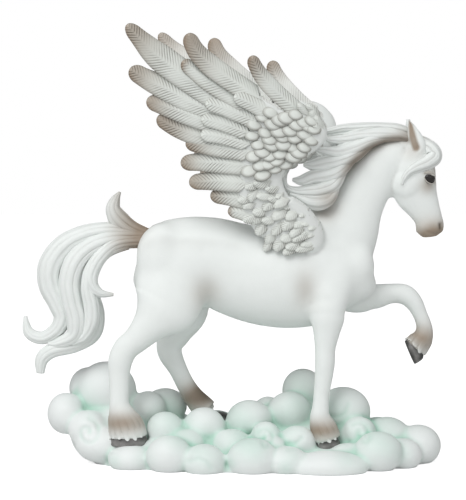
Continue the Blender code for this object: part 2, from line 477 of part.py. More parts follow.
def wing(long_feathers, wrist):
    """All the meshes of a wing, on the near side."""
    made = [wing_plate(), wing_limb("wrist", wrist, WRIST_HALF), wing_limb("shoulder", SHOULDER, SHOULDER_HALF)]
    for k, (outline, width) in enumerate(long_feathers):
        front = k in FRONT_FEATHERS
        lift = FEATHER_STEP * (k % 2 + front)
        roll = -FEATHER_ROLL if front else FEATHER_ROLL
        made.append(feather("long_feather", outline, width, lift, lift, roll))
    for outline, width in MIDDLE_FEATHERS:
        for side in (1, -1):
            root, tip = (side * lift for lift in MIDDLE_LIFTS)
            vane = feather("middle_feather", outline, width, root, tip, FEATHER_ROLL, MIDDLE_THICKNESS)
            made.append(vane)
    return made + coverts()


def far_wing():
    """A wing mirrored to the far side, and raised a little further forward about the shoulder."""
    meshes = wing([FAR_FEATHERS.get(k, row) for k, row in enumerate(LONG_FEATHERS)], FAR_WRIST)
    pivot = v3((33, 0, WING_ROOT_Z))
    smaller = Matrix.Diagonal((FAR_WING_SIZE, 1, FAR_WING_SIZE, 1))
    raised = Matrix.Rotation(math.radians(FAR_WING_TURN), 4, "Y") @ smaller
    turn = Matrix.Translation(pivot) @ raised @ Matrix.Translation(-pivot)
    made = []
    for data in meshes:
        copy = data.copy()
        copy.transform(turn @ Matrix.Diagonal((1, -1, 1, 1)))
        copy.flip_normals()
        made.append(copy)
    return made


def collection(name):
    """A collection of the scene, made where it is missing."""
    found = bpy.data.collections.get(name)
    if found is None:
        found = bpy.data.collections.new(name)
        bpy.context.scene.collection.children.link(found)
    return found


def joined(name, meshes):
    """One object holding all of these meshes."""
    whole = bmesh.new()
    for data in meshes:
        whole.from_mesh(data)
    data = bpy.data.meshes.new(name)
    whole.to_mesh(data)
    whole.free()
    item = bpy.data.objects.new(name, data)
    collection("pegasus_figurine").objects.link(item)
    return item


def resin_skin(item, voxel, passes):
    """Skins overlapping shapes as one closed surface and softens it."""
    remesh = item.modifiers.new("Skin", "REMESH")
    remesh.mode = "VOXEL"
    remesh.voxel_size = voxel * MM
    smooth = item.modifiers.new("Soften", "SMOOTH")
    smooth.factor = 0.5
    smooth.iterations = passes


def evaluated(item):
    graph = bpy.context.evaluated_depsgraph_get()
    return bpy.data.meshes.new_from_object(item.evaluated_get(graph))


def horse_core():
    """Trunk, neck and the thick of each leg, with its muscles blended in."""
    meshes = [trunk(), limb("neck", NECK)]
    for leg in LEGS:
        meshes.append(limb("leg", leg[:THICK_STATIONS]))
    meshes += [ball("muscle", centre, sizes) for centre, sizes in MUSCLES]
    core = joined("core", meshes)
    resin_skin(core, BODY_SKIN, BODY_SOFTENING_PASSES)
    data = evaluated(core)
    bpy.data.objects.remove(core)
    return data


def tucked(stations):
    """Stations whose first ring is narrowed, so that the loft grows out of what it starts in."""
    x, y, z, deep, wide = stations[0]
    return [(x, y, z, deep * NARROWED, wide * NARROWED), *stations[1:]]


def horse():
    meshes = [horse_core(), limb("head", HEAD)]
    for leg, start in zip(LEGS, LOWER_STARTS):
        meshes.append(limb("leg", tucked(leg[start:])))
    meshes += [ball("cheek", centre, sizes) for centre, sizes in CHEEKS]
    for centre, axis, radius, height in HOOVES:
        meshes.append(hoof("hoof", centre, axis, radius, height))
    for side in (NEAR, FAR):
        meshes.append(limb("ear", [(x, y * side, z, a, b) for x, y, z, a, b in EAR], sides=12))
    for lock in (*TAIL.values(), *MANE.values()):
        meshes.append(limb("lock", lock, sides=12))
    return meshes


def cloud():
    """The mound and its billows as one softened mesh."""
    meshes = [ball("mound", centre, sizes, 40, 20) for centre, sizes in MOUND]
    meshes += [ball("billow", centre, sizes) for centre, sizes in CLOUD]
    bank = joined("bank", meshes)
    resin_skin(bank, CLOUD_SKIN, CLOUD_SOFTENING_PASSES)
    data = evaluated(bank)
    bpy.data.objects.remove(bank)
    return data


def flat_underside(item):
    """Cuts everything below the floor away."""
    bpy.ops.mesh.primitive_cube_add(size=1)
    cutter = bpy.context.object
    cutter.name = "floor_cutter"
    cutter.scale = (CUTTER_WIDTH * MM, CUTTER_WIDTH * MM, CUTTER_DEPTH * MM)
    cutter.location = (0, 0, -CUTTER_DEPTH * MM / 2)
    cutter.hide_render = True
    cutter.display_type = "WIRE"
    for home in list(cutter.users_collection):
        home.objects.unlink(cutter)
    collection("cutters").objects.link(cutter)
    cut = item.modifiers.new("Flat underside", "BOOLEAN")
    cut.operation = "DIFFERENCE"
    cut.object = cutter


def resin():
    material = bpy.data.materials.new("painted_resin")
    material.use_nodes = True
    shader = material.node_tree.nodes["Principled BSDF"]
    shader.inputs["Base Color"].default_value = (0.8, 0.81, 0.8, 1)
    shader.inputs["Roughness"].default_value = 0.55
    return material


def main():
    for item in list(bpy.data.objects):
        bpy.data.objects.remove(item)
    near = wing(LONG_FEATHERS, WRIST)
    casting = joined("pegasus_casting", horse() + near + far_wing() + [cloud()])
    resin_skin(casting, SKIN, SOFTENING_PASSES)
    thin = casting.modifiers.new("Fewer faces", "DECIMATE")
    faces = len(evaluated(casting).polygons) * 2
    thin.ratio = TRIANGLES / faces
    flat_underside(casting)
    casting.data.materials.append(resin())


main()
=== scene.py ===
"""Pegasus figurine, dressed: the painted casting of the photo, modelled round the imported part.

Same frame as the part: +X towards the nose, +Z up, the near side is -Y. Tables are in millimetres.
"""

import math

import bmesh
import bpy
import numpy as np
from mathutils import Euler, Matrix, Vector


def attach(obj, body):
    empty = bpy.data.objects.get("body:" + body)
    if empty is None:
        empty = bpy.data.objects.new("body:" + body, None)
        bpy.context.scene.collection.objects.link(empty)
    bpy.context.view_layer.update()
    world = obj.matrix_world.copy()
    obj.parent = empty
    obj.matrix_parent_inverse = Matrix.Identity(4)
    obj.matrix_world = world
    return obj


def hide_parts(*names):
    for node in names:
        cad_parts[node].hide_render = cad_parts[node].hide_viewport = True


MM = 0.001
NEAR, FAR = -1, 1       # signs of y
SIDES = (NEAR, FAR)

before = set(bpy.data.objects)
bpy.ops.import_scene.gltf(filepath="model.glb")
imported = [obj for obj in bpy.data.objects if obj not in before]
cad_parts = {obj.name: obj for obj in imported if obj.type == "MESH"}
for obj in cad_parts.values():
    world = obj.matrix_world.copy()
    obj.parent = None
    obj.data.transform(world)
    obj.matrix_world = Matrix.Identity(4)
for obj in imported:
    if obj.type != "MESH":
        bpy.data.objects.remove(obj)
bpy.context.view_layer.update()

# Skins: voxel size, and how often a skin is softened.
CORE_VOXEL = 1.1        # trunk, neck and the tops of the legs
CORE_PASSES = 38
HORSE_VOXEL = 0.75      # whole horse
HORSE_PASSES = 4
CLOUD_VOXEL = 0.86
CLOUD_PASSES = 16
CREASE_PASSES = 14      # softening that shows where the horse's creases are
BILLOW_PASSES = 90      # the same for the gaps between the billows
UNDERSIDE_Z = 0.02      # the cloud's flat underside

# Wings.
WING_ROOT_OUT = 13.5    # how far from the midplane a wing starts
WING_ROOT_Z = 104.0
WING_LEAN = 0.21        # outwards for each mm up
WING_FLARE = 0.05       # outwards for each mm back from the wing's front
WING_FRONT_X = 33.0
SEEN_FROM = 900.0       # the camera's distance
EYE_Z = 155.0           # the camera's height
TOP_SQUEEZE = 0.977     # of what lies above the camera's height
FAR_WING_TURN = 5.3     # degrees about the shoulder
FAR_WING_SIZE = 0.975
PLATE_MARGIN = 4.0      # how far the wing's plate runs past the coverts on each side
ARM_STEPS = 61
WRIST_HALF = 2.6        # half thicknesses
SHOULDER_HALF = 4.4

# Long feathers.
BARB_PITCH = 1.7
BARB_ROWS = 4           # rows of points for each barb
BARB_DEPTH = 0.42
FEATHER_THICKNESS = 2.6
FEATHER_ROLL = 9.0      # degrees about the quill
ROLLED_BACK = (1, 2, 3)     # places in the list of those that turn the other way
FIRST_SWELL = 0.5       # the longest feather widens most towards its root
MIDDLE_THICKNESS = 1.7
MIDDLE_ROLL = 7.0
MIDDLE_LIFTS = (0.9, 2.5)   # at the root and at the tip
QUILL_HEIGHT = 0.34
QUILL_WIDTH = 0.09      # share of the half width
QUILL_GROOVE = 0.13     # how far from the quill the barbs start
TIP_BEIGE = 0.82
EDGE_BEIGE = 0.35
EDGE_BEIGE_REACH = 22   # from the tip

# Small coverts.
ROOT_COVER = 1.4        # half thickness of wing that hides a covert's root
SCALE_TURN = 16.0       # degrees from the fan's own way
SCALE_TILT = 0.12       # rise towards the tip
SCALE_LIFT = -0.1
SCALE_LEAST_HEIGHT = 1.6
SCALE_FLATNESS = 0.6    # 1 is an oval, less is flatter
SCALE_SIZE = (8, 5.6, 2.3)      # length, width, thickness
RUFFLE_SINK = 1.5       # of the root
RUFFLE_RISE = 0.6       # of the tip
RUFFLE_LEAST_HEIGHT = 1.4
RUFFLE_WIDENING = 1.15
RUFFLE_BEND = 0.8
RUFFLE_LOOK = {
    "barbs": 1.25, "depth": 0.45, "columns": 4, "slant": 1.2, "blunt": 0.7, "swell": 0.1,
    # the painted shade along the edges and towards the root
    "edge_shade": 0.25, "root_shade": 0.2,
}
RUFFLE_THICKNESS = 1.9

# Hair.
LOCK_POINTS = 80        # points round a lock
LOCK_STEPS = 9          # rings between two stations
BELL_POINTS = 144       # points round the hair over a hoof
BELL_STEPS = 10
MANE_SHADE_REACH = 2.6  # painted shade, beige, where the mane meets the neck
MANE_LINE_REACH = 1.3   # painted shade, brown, along the same edge

# Feet: how far up the hoof, share of the radius there.
HOOF_PROFILE = [
    (0, 0.93), (0.05, 0.98), (0.16, 1), (0.4, 0.98), (0.7, 0.94), (0.9, 0.9), (1.1, 0.84), (1.3, 0.6),
]
HOOF_POINTS = 60
HOOF_NARROWNESS = 0.88  # width as a share of its length

# Camera and studio. Lamps: name, place in metres, watts, width in metres.
AIM = (0.0005, 0, 0.1023)
SENSOR = 36.0
VIEW_WIDTH = 0.2235     # metres across the picture at the figurine
LAMPS = [("key", (-0.5, -0.9, 1.1), 11.0, 0.9), ("fill", (0.9, -0.8, 0.5), 0.7, 0.9)]
LAMP_AIM = (0, 0, 0.1)
WORLD_FRONT, WORLD_BACK = 0.66, 0.27    # strength of the light from either end
WORLD_BLEND = 0.6       # how far to either side the light keeps changing
FLOOR_HALF = 3000.0
FLOOR_Z = -0.05
FLOOR_GLOW = 0.7        # adds to the floor's light until it is white to the camera

# Trunk: x, top, bottom, half width.
TRUNK = [
    (-45.5, 106, 88, 6), (-43, 110.8, 82, 10.5), (-36, 114.6, 76, 14.5), (-28, 117.4, 75, 16.6),
    (-18, 118.7, 75, 17.2), (-8, 118, 75, 16.4), (2, 115.8, 70.2, 16.4), (14, 114, 66, 17.4),
    (26, 115, 64.3, 17.6), (36, 118.5, 65, 16.6), (46, 119, 68, 15.6), (56, 110, 72, 13),
    (63, 101.5, 77.5, 10.6), (67.8, 96.5, 85.5, 6.6),
]
# Limbs: x, y, z, half depth in the side view, half width.
NECK = [
    (38, 0, 84, 21, 13.5), (46, 0, 97.5, 20.4, 13), (54, 0, 111, 17, 10.8), (59.8, 0, 124.5, 13.6, 8.2),
    (66.5, 0, 136, 12.4, 6.9), (74.5, 0, 145, 11.4, 6.5), (83, 0, 149.5, 8, 6),
]
HEAD = [
    (84, 0, 154, 4.5, 4.2), (86.6, 0, 149, 9, 6.4), (86.4, 0, 142, 11, 7.3), (86.6, 0, 136, 11.2, 7.2),
    (88.4, 0, 129.5, 10.4, 6.2), (91.7, 0, 123, 8.1, 4.9), (94.2, 0, 117.6, 6.7, 4.3),
    (95, 0, 113.6, 6.8, 4.9), (95, 0, 110.6, 5.6, 4.3), (95.2, 0, 108.6, 3.2, 2.4),
]
NEAR_HIND_LEG = [
    (-27, -6, 99, 17.5, 9.5), (-28.5, -8.5, 87, 17.3, 9.5), (-31.6, -10.5, 76.5, 16.4, 9),
    (-38.8, -11.5, 67.5, 9.2, 7.3), (-45.5, -12, 60.3, 6.5, 5.7), (-50.5, -12, 56, 6.1, 5),
    (-53, -12, 50.5, 5.9, 4.8), (-53.6, -12, 44, 5.1, 4.2), (-53.7, -12, 36, 4.7, 3.8),
    (-53.7, -12, 30, 4.7, 4), (-53, -12, 26, 5.9, 5), (-51.6, -12, 20.5, 7.6, 6.8), (-49.8, -12, 16, 9, 8),
    (-49.5, -12, 13.8, 9, 8),
]
NEAR_FORE_LEG = [
    (49, -7, 97, 13.5, 8), (47.5, -9.5, 86, 11, 7.6), (45.7, -11.5, 77, 9.3, 6.9),
    (45.4, -12.3, 71, 8.2, 6.2), (44.9, -12.5, 63.5, 6.4, 5.2), (44.3, -12.5, 56, 5, 4.5),
    (44.2, -12.5, 49, 4.8, 4.6), (43.6, -12.5, 42.5, 4.4, 3.9), (42.7, -12.5, 35, 3.9, 3.5),
    (42.2, -12.5, 28.5, 4, 3.7), (41.9, -12.5, 23, 4.9, 4.7), (43.2, -12.5, 18.5, 6.2, 5.7),
    (45, -12.5, 14.5, 6.6, 6.3), (45.6, -12.5, 12.6, 6.2, 6),
]
FAR_HIND_LEG = [
    (-26, 6, 98, 16.5, 9.5), (-23, 8.5, 85, 14.5, 9.3), (-23, 10.5, 72.5, 11.5, 8.3),
    (-27.4, 11.5, 62, 8.2, 6.4), (-30.4, 12, 55.5, 6.6, 5.1), (-30, 12, 50.5, 5.9, 4.7),
    (-26.4, 12, 43.3, 4.6, 4.1), (-22.8, 12, 36, 4.5, 3.8), (-19, 12, 30, 5, 4.7),
    (-15.6, 12, 26, 5.7, 5.6), (-13, 12, 23, 6.2, 6),
]
FAR_FORE_LEG = [
    (50, 7, 93, 13.5, 8), (55, 9, 83, 11, 7.6), (61.5, 10, 78.4, 8.2, 6.5), (69.5, 10.5, 79, 6.1, 5.4),
    (77.5, 10.5, 80.5, 4.9, 4.6), (84, 10.5, 80, 5, 4.8), (88.4, 10.5, 76.3, 4.4, 4.4),
    (91.6, 10.5, 70.3, 3.6, 3.4), (93.6, 10.5, 64.6, 3.9, 3.6), (93.4, 10.5, 60.2, 4.8, 4.4),
    (91.4, 10.5, 56.6, 5.8, 5.1), (89.2, 10.5, 54, 6.1, 5.6),
]
LEGS = (NEAR_HIND_LEG, FAR_HIND_LEG, NEAR_FORE_LEG, FAR_FORE_LEG)
THICK_STATIONS = 6      # the part of each leg that melts into the trunk
LOWER_STARTS = (1, 1, 2, 2)     # the station where each leg's lower part starts
EAR = [(89, 4.2, 148, 2.6, 2.2), (88.8, 4.6, 151.4, 4.1, 2.8), (87.4, 5, 155.6, 3.8, 2.6),
       (85.9, 5.2, 159.6, 2.6, 2), (84.7, 5.4, 162.8, 1.5, 1.2), (84, 5.4, 165.2, 0.6, 0.6)]
MUSCLES = [
    ((-33, -8, 100), (13, 9, 16)), ((-33, 8, 100), (13, 9, 16)),
    ((58, -6, 95), (10.5, 7.5, 12)), ((58, 6, 93), (10.5, 7.5, 12)),
    ((38, -6, 108), (15, 9, 14)), ((38, 6, 108), (15, 9, 14)),
]
CHEEKS = [
    ((76, 0, 133), (6.4, 3.2, 5.6)), ((81, 0, 153), (5, 4.6, 3.6)),
    ((84.5, -2.6, 135), (8.5, 5.2, 9)), ((84.5, 2.6, 135), (8.5, 5.2, 9)),
    ((93.4, -4.2, 138.6), (3.6, 2.6, 3.2)), ((93.4, 4.2, 138.6), (3.6, 2.6, 3.2)),
    ((97.6, -2, 113.8), (3, 2.2, 3.2)), ((97.6, 2, 113.8), (3, 2.2, 3.2)),
    ((91.2, 0, 111.8), (3, 3, 1.9)),
]
# Hooves: middle of the sole, axis towards the sole, radius, height, and how dark the sole's rim is.
HOOVES = {
    "near_hind": ((-49.4, -12, 9.8), (0, 0, -1), 9.2, 5.2, 0.1),
    "near_fore": ((45.9, -12.5, 8.6), (0.13, 0, -1), 5.8, 4.6, 0.3),
    "far_hind": ((-8, 12, 16.8), (0, 0, -1), 7.2, 4, 0.9),
    "far_fore": ((86.5, 10.5, 51.7), (-0.92, 0, -0.39), 6.2, 4.6, 1.0),
}
# Hair over the hooves: stations like a limb's, locks all round, how ragged the ends are.
FETLOCKS = {
    "near_hind": ([(-53.3, -12, 28.7, 4.6, 3.8), (-52.2, -12, 23.6, 7.1, 6.2), (-50.6, -12, 19, 8.7, 7.7),
                   (-49.9, -12, 15.8, 9.2, 8.2), (-49.7, -12, 14.3, 9.2, 8.3)], 17, 2.4),
    "near_fore": ([(42, -12.5, 26, 3.6, 3.2), (42.6, -12.5, 21, 5.7, 5.2), (44.2, -12.5, 16.6, 6.5, 6.3),
                   (45.3, -12.5, 14, 6, 6.1), (45.8, -12.5, 12.9, 5.8, 5.9)], 13, 2.2),
    "far_hind": ([(-19, 12, 29.8, 3.8, 3.6), (-15.6, 12, 26.2, 5.2, 5.4), (-13, 12, 23.4, 4.8, 5.8),
                  (-11.8, 12, 22, 4, 5.6)], 13, 0.5),
    "far_fore": ([(93.6, 10.5, 61.6, 4, 3.6), (92.6, 10.5, 58.4, 5.4, 4.8), (90.6, 10.5, 55.8, 6.1, 5.6),
                  (89.5, 10.5, 54.6, 6.2, 5.9)], 11, 1.7),
}
# Eyes on both sides: centre and half sizes, then the lids as lines of x, y, z, with their thickness.
EYE = ((94.3, 5.1, 136.8), (3, 1.8, 2.7))
EYE_NOD, EYE_TURN = 28, 34      # degrees
LIDS = [
    ([(90.8, 6.2, 138.6), (92.6, 6.7, 139.6), (95, 6, 139.4), (97.2, 4, 137.8)], 0.6),
    ([(91.4, 6.6, 137.4), (92.8, 6.9, 135.2), (95.2, 6, 134.2), (97, 4.4, 135)], 0.25),
]
LID_TAPER = (0.3, 1, 1, 0.3)
# Grooves in the horse: line of x, z, half width, depth.
EAR_HOLLOW = ([(84.3, 162.6), (85.1, 158.6), (86.2, 154.6), (87.4, 151.4)], 2, 1.3)
NOSTRIL = ([(99.8, 114.8), (99.9, 112.8)], 0.9, 0.9)
MOUTH = ([(99.6, 110.7), (96.6, 110.5), (93.6, 111.2)], 0.45, 0.3)
JAW = ([(77, 142), (77.6, 135), (79.6, 130)], 2.4, 0.25)
NEAR_ELBOW = ([(37.6, 78), (42, 79.4), (46, 79.4)], 2.2, 0.25)
# Hair: x, y, z, half depth, half width along each lock.
TAIL = [
    [(-40, 0, 109, 3.5, 4), (-48, 0, 112.2, 4.2, 4.6), (-54, -0.5, 116.6, 4.9, 4.6),
     (-56.8, -1, 122, 3.8, 3.8), (-55.8, -1, 126.5, 2.4, 2.6), (-53.6, -1, 130.2, 0.6, 0.6)],
    [(-40, 0, 108.5, 4, 4.5), (-55, 0, 111.5, 4.2, 5.2), (-68, 0, 110.3, 4.8, 6),
     (-79.6, 0, 104.8, 5.8, 6.4), (-86.6, 0.5, 95.4, 6.4, 6.6), (-87.4, 1, 86, 6, 6.4),
     (-83.8, 1, 77, 5.2, 6), (-81.6, 1, 70, 4.6, 5.4), (-84.6, 1, 63.8, 3.8, 4.6),
     (-91.6, 1, 59.8, 3.2, 3.8), (-98, 1, 62.6, 2.7, 2.8), (-99.6, 1, 70.4, 0.9, 0.9)],
    [(-40, -1, 107.5, 4, 4.5), (-55, -2, 108, 4.4, 5), (-66, -3, 105, 5, 5.4), (-74, -4, 98, 5.4, 5.6),
     (-77.6, -4, 88, 5.4, 5.6), (-76.6, -3.5, 78, 5.2, 5.4), (-74.6, -3, 69, 5, 5), (-76, -2, 61.4, 4, 4.4),
     (-84, -1, 57.4, 2.6, 3), (-88.6, -1, 57.2, 1.2, 1.4)],
    [(-40, 1, 107, 4, 4.5), (-56, 2, 106, 4.2, 5), (-66, 3, 99.4, 4.6, 5.6), (-70.4, 4, 90, 5, 6),
     (-69.4, 4, 80, 5.4, 6), (-66.8, 3, 71, 5.4, 5.4), (-68.2, 2, 62.4, 5.2, 4.8), (-76, 1, 56.8, 4.2, 4),
     (-86.4, 0, 54, 3.8, 3.4), (-91.6, 0, 49.6, 3.4, 3), (-92.4, 0, 42.8, 2, 1.8)],
    [(-50, -3, 105.6, 3, 3.8), (-60, -4, 102, 3.4, 4.4), (-67, -5, 94, 3.6, 4.4), (-69, -5, 85, 3.6, 4.4),
     (-67.4, -4.4, 76, 4, 4.4), (-67.4, -3.6, 68, 3.8, 4.2), (-71, -2.6, 61, 3, 3.4),
     (-77, -2, 57.6, 1.6, 2)],
    [(-40, -2, 106.8, 3.4, 4), (-54, -4, 106, 3.4, 3.8), (-62.4, -5.5, 100, 3.6, 3.8),
     (-67, -6, 92, 3.8, 3.8), (-67, -6, 86, 3.4, 3.4), (-63, -5.5, 82, 2.2, 2.4),
     (-56.6, -5, 81.2, 0.8, 0.8)],
]
MANE = [
    [(89, 0, 154, 2, 3), (83, 0, 157.2, 2.8, 3.8), (76, -0.5, 158.4, 3.6, 5), (68, -1.5, 157.4, 4.8, 6.4),
     (60, -3, 154.4, 6.2, 6.6), (53, -5, 149.6, 6.6, 6.4), (47.6, -7, 142.6, 5.6, 6),
     (44.4, -8.4, 135.4, 5.2, 5.4), (42.6, -9.4, 129, 4.8, 4.6), (41, -10, 125.6, 3.2, 3)],
    [(88, 0, 156.4, 2.6, 3), (80, 0, 159.6, 3.2, 4.4), (70, -0.4, 161, 2.6, 4.6), (60, -1, 160.8, 2.6, 4.4),
     (53, -2, 160.6, 2.2, 3.6), (47.5, -3, 159.6, 1.8, 2.4), (42.5, -3, 158.4, 1.4, 2)],
    [(70, 0, 158.5, 2.4, 4), (60, 0, 158, 2.6, 4.4), (52, -1, 157.6, 2.6, 3.6), (45, -2, 156.8, 2, 2.4)],
    [(88, -2, 154, 1.4, 1.6), (82, -2.6, 156.6, 2.6, 3), (72, -4.4, 157, 3.2, 3.6), (62, -6, 156.6, 3, 3.6),
     (54, -7.5, 155.2, 2.8, 3.2), (47.6, -8.6, 155, 1.8, 2), (44.6, -9, 155.4, 0.9, 0.9)],
    [(77, -2.5, 156.4, 1, 1.4), (66, -6.5, 154.4, 3, 3.6), (58, -8.4, 151, 3.8, 4),
     (50.6, -10, 149, 3.4, 3.6), (44, -10.8, 149.8, 2.2, 2.4), (39.4, -11, 150.6, 0.9, 0.9)],
    [(68, -4.5, 153.6, 1, 1.6), (58, -8.8, 147.6, 3.4, 3.8), (51, -10.2, 145.2, 3.6, 3.8),
     (44, -11.2, 144, 3.8, 2.8), (38.6, -11.8, 143.2, 3, 2.2), (33.8, -12, 143.4, 0.9, 0.9)],
    [(60, -6.5, 148, 1, 1.6), (51.6, -10.2, 141, 3.4, 3.8), (45.4, -11.4, 138.6, 3.8, 3.6),
     (38.6, -12, 137.8, 3.4, 2.8), (33, -12.6, 136, 2.7, 1.8), (28.6, -12.8, 136.4, 0.8, 0.8)],
    [(54.6, -7.5, 142.5, 1, 1.6), (48.8, -10.8, 134.6, 3.4, 3.8), (42.6, -12, 131.6, 4, 3.8),
     (36.4, -12.8, 130.8, 3.2, 3.2), (30, -13.6, 131, 2.2, 2.4), (25.6, -14.4, 133, 1.5, 1.6),
     (24.2, -14.8, 138, 0.9, 0.9)],
    [(51, -8, 137, 1, 1.6), (47, -10.6, 129, 3.2, 3.6), (42.2, -11.6, 126.2, 4.4, 4),
     (36.4, -12.4, 126.2, 4.2, 3.8), (31, -13, 128.4, 2.4, 2.8), (27, -13.4, 129.6, 1.8, 2.2)],
    [(80, 2.5, 157, 3, 3.2), (68, 4.6, 155, 4.2, 3.8), (58, 6.4, 150.6, 4.6, 4), (50.6, 8, 147.4, 4, 3.8),
     (44.6, 9, 147.4, 2.4, 2.4), (41, 9.4, 149, 0.9, 0.9)],
    [(64, 5.4, 149.5, 3, 3), (55.6, 7.4, 142.4, 4.4, 3.8), (49, 9, 135.4, 4.6, 3.8),
     (43.6, 10.4, 131.4, 3, 2.8), (39.6, 11, 132, 0.9, 0.9)],
]
FORELOCK = [
    [(84, 0, 156.6, 2.6, 4), (89.5, 0, 155, 2.6, 5), (94, 0, 152.4, 3, 5.4), (96, 0, 148, 3, 5)],
    [(90, -0.5, 153.5, 2.6, 4.4), (94.2, -1.6, 151.2, 4, 5), (96, -3, 147.4, 4.4, 4.8),
     (93, -5, 144.6, 3.8, 3.8), (88.6, -6.6, 142.6, 3, 2.8), (84.6, -7.6, 140.4, 2, 2),
     (82, -7.8, 137.4, 1.4, 1.4), (80.8, -7.4, 134, 0.8, 0.8)],
    [(90, 1, 154, 2.4, 3), (94.6, 2.4, 151, 3.6, 3.8), (95.6, 4.6, 146.8, 3.8, 3),
     (91.6, 6.4, 143.6, 2.8, 2.2), (87, 7.2, 141, 1.7, 1.6), (84.4, 7.2, 137.6, 0.8, 0.8)],
]

# The wing as drawn from the side: x, z along the arm from shoulder to wrist.
ARM = [(33, 105), (37, 109.6), (34.5, 116), (28.5, 122), (23, 128.5), (20.5, 136), (23, 143), (29, 148),
       (36.5, 152.5), (44, 158)]
# Share of the arm, how far the coverts reach from it, the way they point.
FAN = [(0, 11, (-0.99, -0.02)), (0.2, 21, (-0.96, -0.2)), (0.4, 18, (-0.98, -0.17)), (0.55, 13, (-1, 0)),
       (0.7, 16, (-0.98, 0.15)), (0.85, 26, (-0.92, 0.4)), (1, 31, (-0.87, 0.5))]
# Half thickness of the wing's plate at shares of the arm.
PLATE = [(0, 5.2), (0.3, 3.4), (1, 2.4)]
# Thick bends of the wing: x, z, half depth in the side view.
WRIST = [(27, 146, 3), (34, 152, 5), (39.4, 158, 6), (38.6, 164.6, 4.4), (33, 169, 2.4)]
SHOULDER = [(27, 126.5, 2.6), (32.4, 120.4, 4.8), (36.4, 113, 6.4), (38.4, 107, 6), (36, 103, 3.4)]
# Long feathers: x, z from tip to root, then width, and how far the beige reaches from the tip.
LONG_FEATHERS = [
    ([(-50.2, 211.4), (-43, 203.6), (-36, 196.8), (-25, 188.4), (-10, 178), (10, 166)], 13, 17),
    ([(-23.8, 193.4), (-15, 186.4), (-5, 179.8), (10, 171)], 10, 3),
    ([(-21.3, 206.9), (-17, 198.4), (-10, 191.4), (0, 184), (14, 174.4)], 10.6, 17),
    ([(9, 196), (13, 188), (20, 179.6), (30, 170.4), (38, 163)], 8.6, 10),
    ([(-48.9, 189.8), (-41, 185), (-31, 180), (-18, 173.2), (2, 164)], 11.4, 13),
    ([(-40.8, 174.5), (-32, 171.6), (-22, 168.4), (-10, 164), (6, 158.4)], 10.8, 10),
    ([(-35.7, 166.4), (-28, 161.8), (-20, 158.8), (-10, 156.4), (6, 153)], 10.2, 15),
    ([(-22.2, 153.6), (-12, 152.4), (0, 151), (11, 149)], 10, 9),
    ([(-24.6, 143.9), (-15, 144.6), (-5, 144.4), (9, 143)], 10.6, 8),
    ([(-20.6, 134.7), (-12, 135.4), (-3, 135.6), (9, 135)], 10.4, 9),
    ([(-10.4, 128.5), (-3, 128), (5, 127), (14, 125)], 10.2, 6),
    ([(-2, 121.2), (4, 120.4), (15, 117.6)], 9, 2),
]
# What differs on the far wing: long feathers by their place in the list, and the wrist.
FAR_FEATHERS = {
    0: ([(-49.6, 207.2), (-43.6, 200.8), (-36, 194.6), (-25, 187), (-10, 177.2), (10, 166)], 12, 16),
    3: ([(11, 197.4), (14, 190.5), (19.6, 183), (28, 175.5), (38.4, 168)], 10, 10),
}
FAR_WRIST = [(27, 146, 3), (35, 152, 5.6), (41, 158.5, 6.4), (41.4, 165.5, 6), (37.5, 171.2, 5),
             (31.5, 173.8, 4), (26, 175.6, 2)]
# Shorter feathers over the long ones: x, z from tip to root, then width.
MIDDLE_FEATHERS = [
    ([(1, 176.6), (8, 173.4), (20, 167)], 7.6), ([(-12.6, 173), (-3, 170.6), (12, 164)], 8),
    ([(-14.6, 165.4), (-5, 163.4), (9, 158)], 7.6), ([(-15, 157.6), (-6, 157), (9, 153)], 7.6),
]
# Small coverts: x, z of each scale's middle.
SCALES = [
    (18.4, 168.4), (25.8, 165.8), (34.2, 163.5), (14.6, 166.2), (10.6, 162.6), (19.4, 162.7),
    (9.7, 157.2), (15.9, 158.4), (22.4, 159), (27.8, 159.6), (24, 156.2), (30, 156), (34.6, 158),
    (18, 155.2), (12.6, 152.7), (19, 152.4), (24.6, 152.8), (28.9, 151.6), (34.4, 151.6), (10.6, 147.4),
    (14.6, 149.2), (18, 147.2), (23, 148.4), (29.4, 147), (13.6, 143), (20.6, 141.4), (25.4, 143.6),
    (8.4, 140.4), (37.6, 155), (39, 160.4), (31, 162.4), (22.6, 164.6), (30.4, 167.4), (36.4, 161.6),
    (14.6, 138.4), (17.4, 143.6), (38, 164.4), (21.4, 145.2), (32, 149),
]
